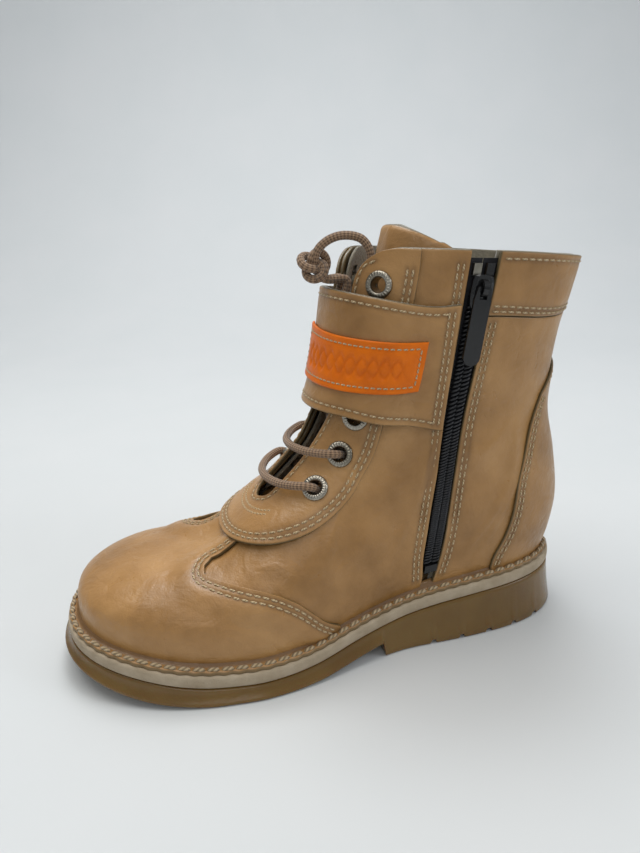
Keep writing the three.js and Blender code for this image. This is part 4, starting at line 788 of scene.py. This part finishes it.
def sole():
    edge = WELT_MARGIN
    band = [(-7, -0.4), (edge - 1.2, 0), (edge - 0.5, -0.08), (edge - 0.12, -0.4), (edge + 0.06, -1.2),
            (edge + 0.12, -2.4), (edge + 0.04, -3.7), (edge - 0.2, -4.35), (edge - 0.7, -BAND), (-7, -BAND)]
    ring_piece("welt_band", [rim_at(out, z) for out, z in band], welt_rubber, "welt", ["midsole_welt_band"])

    gum = [rim_at(-6, -BAND - 0.3), rim_at(edge - 0.6, -BAND - 0.3), rim_at(edge - 0.1, -BAND - 0.6)]
    for k in [0.12, 0.3, 0.5, 0.7, 0.86, 1.0]:
        ring = rim_at(edge + FLARE * k ** 1.6, 0)
        foot = under(ring[:, 1]) + 0.9
        ring[:, 2] = lerp(feather(ring[:, 1]) - BAND - 0.6, foot, k)
        gum.append(ring)
    for out, z in [(FLARE - 0.12, 0.4), (FLARE - 0.45, 0.1), (FLARE - 1.0, 0.0)]:
        ring = rim_at(edge + out, 0)
        ring[:, 2] = under(ring[:, 1]) + z
        gum.append(ring)
    last = gum[-1]
    tip, tail = last[:, 1].argmin(), last[:, 1].argmax()
    order = np.roll(np.arange(OUTLINE), -tip)
    turn = int(np.nonzero(order == tail)[0][0])
    one, other = last[order[:turn + 1]], last[np.r_[order[turn:], tip]][::-1]
    ys = lerp(last[tip, 1], last[tail, 1], (1 - np.cos(np.linspace(0, np.pi, 500))) / 2)
    ys = np.sort(np.r_[ys[1:-1], [g + d for g in GROOVE_Y for d in (-1.25, -0.9, 0.9, 1.25)]])
    sides = [np.interp(ys, branch[:, 1], branch[:, 0]) for branch in (one, other)]
    sheet = np.stack([np.stack([lerp(sides[0], sides[1], s), ys, under(ys)], -1)
                      for s in np.linspace(0, 1, 7)])
    faces = np.concatenate([grid_faces(len(gum), OUTLINE, 0, True),
                            grid_faces(7, len(ys), len(gum) * OUTLINE)])
    points = np.concatenate([np.concatenate(gum), sheet.reshape(-1, 3)])
    solid("gum_outsole", points, faces, gum_rubber, "boot", "gum", ["outsole"])

    # the upper's edge, turned out on the welt and drawn in at each lock stitch
    scallop = 0.22 * np.cos(2 * np.pi * run_along(outline_skin) / WELT_PITCH)
    turned = [(-1.2, 3.6), (0.1, 2.9), (0.45, 2.2), (0.95, 1.72), (1.6, 1.5), (2.5, 1.45)]
    rings = [rim_at(out, z) for out, z in turned]
    rings += [rim_at(out + scallop, z) for out, z in [(3.1, 1.32), (3.4, 0.95), (3.45, 0.4), (3.4, 0.05)]]
    rings += [rim_at(-1.2, 0.05)]
    edge_of = np.concatenate([np.full(OUTLINE, 1.0 if k in (7, 8, 9) else 0.0) for k in range(len(rings))])
    # painted shade: the fold where the upper turns out onto the welt (rings 1 to 3) goes 0.6 of the way to
    # the dark seam colour, the rest of the turned edge 0.15
    painted_fold_shade = np.concatenate([np.full(OUTLINE, 0.6 if k in (1, 2, 3) else 0.15) for k in range(len(rings))])
    ring_piece("turned_out_edge", rings, tan_leather, "tan_leather", (), edge=edge_of * 0.7, seam=painted_fold_shade)

    loop = rim_at(2.35, 1.72)
    points = even_points(np.concatenate([loop, loop[:1]]), WELT_PITCH)
    along = unit(np.roll(points, -1, 0) - np.roll(points, 1, 0))
    ups = np.tile([0.0, 0.0, 1.0], (len(points), 1))
    ups = unit(ups - along * (ups * along).sum(-1, keepdims=True))
    capsules("welt_lock_stitch", points, along, ups, WELT_PITCH * 0.93, 0.72, welt_thread, "boot", "welt")


# ---------- the upper
def flat(d):
    return lambda t, a: np.full(np.shape(t), float(d))


def to_collar(t, a):
    return t * lerp(1, collar_top(a), smooth(0.9, 1.0, t))


def on_rail(line, s):
    """t and a at the share s of a rail."""
    return [np.interp(s, np.linspace(0, 1, len(line)), line[:, c]) for c in range(2)]


def between(lines, u, v):
    """Points between two rails: u along them, v from the first to the second."""
    first, second = (on_rail(line, u) for line in lines)
    return lerp(first[0], second[0], v), lerp(first[1], second[1], v)


wing_low = np.array([0] + WING_LOW)
wing_high = np.array([[0.418, 0]] + WING_HALF)
wing_run = np.r_[0, np.cumsum(np.hypot(np.diff(wing_low) * 217, np.linalg.norm(
    np.diff(wing_high * [120, 130], axis=0), axis=1)))]
wing_run /= wing_run[-1]
wing_edge = rail(WING_HALF[1:])
EYESTAY = (rail(mirrored(EYESTAY_INNER), 500), rail(mirrored(EYESTAY_OUTER), 500))
quarter_front = rail(QUARTER_FRONT)
ON_BOOT = (tan_leather, "boot", "tan_leather")  # material, body and slot of the outer leather pieces


def wing_lift(t, a):
    """The toe piece rises over the quarters near its wing edge."""
    p = skin(t, a)
    near = np.minimum(gap_to(wing_edge, p), gap_to(wing_edge * [1, -1], p))
    return 1.5 * (1 - smooth(5, 13, near))


def apron_lift(t, a):
    """The eyestay's front end lies on the toe piece."""
    return (1 - smooth(0.44, 0.52, t)) * (1 - smooth(0.13, 0.26, np.abs(a))) * 1.35


def flap_top(t, a):
    return 1.25 + apron_lift(t, a)


def toe_piece():
    def at(u, v):
        side, along = np.sign(2 * u - 1), np.abs(2 * u - 1)
        low = np.interp(along, wing_run, wing_low)
        high = [np.interp(along, wing_run, wing_high[:, c]) for c in range(2)]
        return high[0] * v, side * lerp(low, high[1], v ** 1.2)

    rows = []
    for side in (1, -1):
        line = wing_edge * [1, side]
        rows += [moved(line, -side * mm) for mm in (1.7, 3.3)]
    sheet_piece("toe_piece", at, 300, 72, lambda t, a: wing_lift(t, a) - 1.35, wing_lift, *ON_BOOT,
                ["vamp"], rows)
    sew_rows("wing_stitches", [row[3:-3] for row in rows], lambda t, a: wing_lift(t, a) + 0.02)


def eyelet_places(side):
    return [skin(t, side * EYELET_A) for t in EYELET_T]


def quarters():
    def medial_front(u, v):
        tf, af = on_rail(quarter_front, v)
        a = lerp(af, zip_side(np.maximum(v, 0.03), -1), u)
        return to_collar(lerp(tf, v, u), a), a

    def medial_rear(u, v):
        a = lerp(zip_side(np.maximum(v * 0.868, 0.03), 1), 0.9985, u)
        return collar_seam(a) * v, a

    def lateral(u, v):
        tf, af = on_rail(quarter_front, v)
        a = lerp(-af, -0.9985, u)
        top = lerp(collar_top(a), collar_seam(a), smooth(0.235, 0.255, -a))
        return lerp(tf, v, smooth(0, 0.4, u)) * lerp(1, top, v), a

    def collar(u, v):
        a = lerp(zip_side(lerp(0.87, 1, v), 1), 2 - 0.262, u)
        return lerp(collar_seam(a) + 0.001, collar_top(a), v), a

    ts = np.linspace(0.03, 0.985, 160)
    rows_front = [np.stack([ts, zip_side(ts, -1, mm)], -1) for mm in (1.9, 3.7)]
    rows_rear = [np.stack([ts[:138], zip_side(ts[:138], 1, mm)], -1) for mm in (1.9, 3.7)]
    sheet_piece("inner_front_quarter", medial_front, 72, 118, flat(-LEATHER), flat(0), *ON_BOOT,
                ["quarter_medial_front"], rows_front, open_at=eyelet_places(1), creased=True)
    sheet_piece("inner_rear_quarter", medial_rear, 62, 100, flat(-LEATHER), flat(0), *ON_BOOT,
                ["quarter_medial_rear"], rows_rear, creased=True)
    sheet_piece("outer_quarter", lateral, 125, 112, flat(-LEATHER), flat(0), *ON_BOOT,
                ["quarter_lateral"], open_at=eyelet_places(-1), creased=True)
    a = np.linspace(0.5, 1.73, 260)
    seams = [np.stack([collar_seam(a) + share(0.9, mm), a], -1) for mm in (1.3, 2.7)]
    brim = [np.stack([collar_top(a) - share(1.0, 2.0), a], -1)]
    sheet_piece("collar_band", collar, 158, 17, flat(-LEATHER + 0.1), flat(0.35), *ON_BOOT,
                ["collar_band"], seams + brim)
    sew_rows("collar_stitches", seams + brim, 0.4)
    sew_rows("zip_front_stitches", rows_front, 0.03)
    sew_rows("zip_rear_stitches", rows_rear, 0.03)


def heel_piece():
    def at(u, v):
        side = 2 * u - 1
        return (0.69 - 0.09 * side * side) * v, 1 + side * (1 - curve(HEEL_EDGE, v * 0.6))

    v = np.linspace(0.03, 1, 120)
    rows = []
    for u in (0.0, 1.0):
        line = np.stack(at(np.full(120, u), v), -1)
        rows += [moved(line, (1 if u else -1) * -mm) for mm in (-1.6, -3.2)]
    sheet_piece("heel_piece", at, 62, 72, flat(0.0), flat(OVERLAY), *ON_BOOT, ["heel_piece"], rows)
    sew_rows("heel_stitches", rows, OVERLAY + 0.02)
    top = np.stack(at(np.linspace(0.07, 0.93, 90), np.full(90, 0.97)), -1)
    sew("heel_stitches_top", top, OVERLAY + 0.02)


def eyestay():
    def at(u, v):
        t, a = between(EYESTAY, u, v)
        return to_collar(t, a), a

    outer = [moved(EYESTAY[1][8:-8], -mm) for mm in (1.9, 3.7)]
    inner = [moved(EYESTAY[0][8:-8], 1.9)]
    outer = [row[row[:, 0] < 0.985] for row in outer]
    punches = [above(t, side * EYELET_A, 0.6) for side in (1, -1) for t in EYELET_T]
    sheet_piece("eyestay", at, 270, 24, lambda t, a: flap_top(t, a) - OVERLAY, flap_top, *ON_BOOT,
                ["eyestay"], outer + inner, open_at=punches)
    sew_rows("eyestay_stitches", outer + inner, lambda t, a: flap_top(t, a) + 0.02)
    # the bar tack in front of the slit: a half moon of close stitches
    bend = np.linspace(-1, 1, 60)
    for k, drop in enumerate((0.0, 0.012)):
        line = np.stack([0.462 - drop + 0.016 * bend ** 2, 0.105 * bend], -1)
        sew(f"bar_tack_{k + 1}", line, lambda t, a: flap_top(t, a) + 0.03, pitch=1.7, radius=0.36)


def linings():
    front = rail([[0.0, 0.352], [0.1, 0.335], [0.2, 0.315], [0.3, 0.295], [0.4, 0.275], [0.452, 0.24],
                  [0.468, 0.16], [0.5, 0.08], [0.58, 0.078], [0.7, 0.1], [0.85, 0.1], [0.94, 0.106],
                  [0.985, 0.136], [1, 0.185]])

    def medial(u, v):
        tf, af = on_rail(front, v)
        a = lerp(af, zip_side(np.maximum(v, 0.03), -1) + 0.002, u)
        return to_collar(lerp(tf, v, smooth(0, 0.5, u)), a), a

    def rear(u, v):
        a = lerp(zip_side(np.maximum(v, 0.03), 1) - 0.002, 0.9985, u)
        return to_collar(v, a), a

    def lateral(u, v):
        tf, af = on_rail(front, v)
        a = -lerp(af, 0.9985, u)
        return to_collar(lerp(tf, v, smooth(0, 0.4, u)), a), a

    top = -LEATHER - LINING_GAP
    low = top - LINING
    for name, at, length, side in (("lining_medial_front", medial, 70, 1),
                                   ("lining_medial_rear", rear, 62, 0),
                                   ("lining_lateral", lateral, 130, -1)):
        holes = [above(t, side * EYELET_A, low) for t in EYELET_T] if side else ()
        sheet_piece(f"felt_{name}", at, length, 118, flat(low), flat(top), felt, "boot", "felt_lining",
                    [name], (), 0.5, 2.2, open_at=holes)


def tongue():
    def at(u, v):
        side = 2 * u - 1
        t = lerp(0.458, 1.052 - 0.06 * np.abs(side) ** 3, v)
        return t, side * lerp(0.15, 0.43, smooth(0.45, 0.98, t))

    def drop(t):
        return lerp(-3.9, -9.1, smooth(0.462, 0.516, t)) - 4.2 * smooth(0.82, 1.07, t)

    def plump(t, a):
        return drop(t) + 0.25 * np.sin(a * 24) ** 2

    sheet_piece("tongue_front", at, 60, 76, lambda t, a: drop(t) - 2.2, plump, tan_leather, "tongue",
                "tan_leather", ["tongue_outer", "tongue_foam"], (), 1.4)
    sheet_piece("tongue_back", at, 60, 76, lambda t, a: drop(t) - 4.5, lambda t, a: drop(t) - 2.3, felt,
                "tongue", "felt_lining", ["tongue_lining"], (), 1.0)


# ---------- strap and label
STRAP_T = (0.612, 0.9)
hinge_a = zip_side(np.array(STRAP_T), -1, 1.2)
hinge_ends = above(np.array(STRAP_T), hinge_a, np.array([0.3, 0.3]))
STRAP_LOW = [[0.612, hinge_a[0]], [0.64, 0.36], [0.66, 0.25], [0.678, 0.15], [0.684, 0.04], [0.684, -0.06],
             [0.678, -0.2], [0.66, -0.34], [0.645, -0.44]]
STRAP_HIGH = [[0.9, hinge_a[1]], [0.898, 0.33], [0.912, 0.22], [0.922, 0.12], [0.926, 0], [0.924, -0.1],
              [0.915, -0.22], [0.9, -0.34], [0.888, -0.44]]


def strap_base(t, a):
    p = skin(t, zip_side(t, -1, 1.2))
    along = np.clip((p[..., 2] - hinge_ends[0, 2]) / (hinge_ends[1, 2] - hinge_ends[0, 2]), 0, 1)
    chord = lerp(hinge_ends[0], hinge_ends[1], along[..., None])
    lift = np.maximum(0.3, ((chord - p) * normal(p)).sum(-1))
    return np.maximum(STRAP_LIFT * smooth(0.36, 0.23, a), lerp(0.3, lift, smooth(0.28, 0.38, a)))


def strap_face(t, a):
    return strap_base(t, a) + STRAP_BUILD


def strap():
    lines = (rail(STRAP_LOW), rail(STRAP_HIGH))

    def at(u, v):
        t, a = between(lines, u, v)
        bow = zip_side(t, -1, 1.2) - lerp(hinge_a[0], hinge_a[1], v)
        return t, a + bow * smooth(0.25, 0, u)

    def line(u, v):
        return np.stack(at(*np.broadcast_arrays(u, v)), -1)

    u, v = np.linspace(0.035, 0.975, 260), np.linspace(0.04, 0.96, 90)
    rows = [line(u, 0.06), line(u, 0.94), line(0.02, v), line(0.038, v), line(0.975, v)]
    sheet_piece("strap_leather", at, 108, 36, lambda t, a: strap_base(t, a) + 0.85, strap_face, tan_leather,
                "strap", "tan_leather", ["strap"], rows, 0.65)
    sheet_piece("strap_felt", at, 108, 36, strap_base, lambda t, a: strap_base(t, a) + 0.8, felt, "strap",
                "felt_lining", ["strap_lining"], (), 0.4, 1.6)
    sew_rows("strap_stitches", rows, lambda t, a: strap_face(t, a) + 0.02, "strap")


def label():
    def edges(u):
        return lerp(0.737, 0.72, u), lerp(0.852, 0.828, u)

    def at(u, v):
        low, high = edges(u)
        return lerp(low, high, v), lerp(-0.07, 0.328, u)

    def face(t, a):
        u = (a + 0.07) / 0.398
        low, high = edges(u)
        v = (t - low) / (high - low)
        inside = smooth(0.1, 0.16, u) * (1 - smooth(0.84, 0.9, u))
        wave = 0.5 + 0.17 * np.sin(u * 2 * np.pi * 7)
        pressed = np.exp(-((v - wave) / 0.05) ** 2) + np.exp(-((1 - v - wave) / 0.05) ** 2)
        return strap_face(t, a) + LABEL_LIFT - 0.62 * inside * np.minimum(pressed, 1)

    def line(u, v):
        return np.stack(at(*np.broadcast_arrays(u, v)), -1)

    long, tall = np.linspace(0.045, 0.955, 160), np.linspace(0.13, 0.87, 40)
    rows = [line(long, 0.12), line(long, 0.88), line(0.04, tall), line(0.96, tall)]
    sheet_piece("orange_label", at, 52, 14.5, lambda t, a: strap_face(t, a) + 0.1, face, orange_leather,
                "strap", "orange_label", ["label"], rows, 0.45, 0.5)
    sew_rows("label_stitches", rows, lambda t, a: strap_face(t, a) + 1.22, "strap", 2.1, 0.28)


# ---------- metal and zip
def eyelets():
    """Pressed rings with a milled ridge of small beads round the face."""
    profile = [(2.5, -5.2), (2.5, 0.45), (2.62, 0.85), (2.95, 1.1), (3.3, 1.12), (3.6, 1.05), (3.9, 0.98),
               (4.25, 0.82), (4.5, 0.5), (4.6, 0.12), (4.6, -0.1)]
    th = np.linspace(0, 2 * np.pi, 96, endpoint=False)
    for side, word in ((1, "medial"), (-1, "lateral")):
        for i, t in enumerate(EYELET_T):
            centre = above(t, side * EYELET_A, 1.22)
            up = normal(centre)
            x = unit(np.cross(up, [0, 0, 1.0]))
            y = np.cross(up, x)
            rings = []
            for r, h in profile:
                bead = 0.16 * np.cos(24 * th) * (3.1 < r < 4.1)
                rings.append(centre + r * (np.cos(th)[:, None] * x + np.sin(th)[:, None] * y)
                             + (h + bead)[:, None] * up)
            solid(f"ring_{word}_{i + 1}", np.concatenate(rings), grid_faces(len(rings), 96, 0, True), nickel,
                  "boot", "nickel", [f"eyelet_{word}_{i + 1}"])


def zip_coils():
    """Two wound nylon coils that mesh along the middle of the track."""
    turns, per_turn = 84, 14
    s = np.linspace(0, 1, turns * per_turn)
    phase = s * turns * 2 * np.pi
    for side, name in ((-1, "front"), (1, "rear")):
        swing = np.cos(phase + (0 if side > 0 else np.pi))
        path = zip_point(lerp(0.075, 0.93, s), side * (1.5 - 1.35 * swing), -0.82 + 0.62 * np.sin(phase))
        tube(f"coil_{name}", path, 0.42, coil_black, "boot", "black_plastic", [f"zip_coil_{name}"], 6)


def carried_over():
    """The CAD pieces that keep their own shape, each with its real finish."""
    finishes = {
        felt: ["vamp_lining"],
        sock_leather: ["footbed"],
        fibre_board: ["insole_board", "toe_puff", "heel_stiffener"],
        steel: ["shank"],
        tape_black: ["zip_tape_front", "zip_tape_rear"],
        nickel: ["zip_top_stop_front"],
        enamel_black: ["zip_top_stop_rear", "zip_bottom_stop", "zip_slider", "zip_pull_tab"],
        hook_black: ["strap_loop_pad", "strap_hook_pad"],
    }
    for material, names in finishes.items():
        for name in names:
            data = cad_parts[name].data
            data.materials.clear()
            data.materials.append(material)


for build in (studio, lace, sole, toe_piece, quarters, heel_piece, eyestay, linings, tongue, strap, label,
              eyelets, zip_coils, carried_over):
    build()
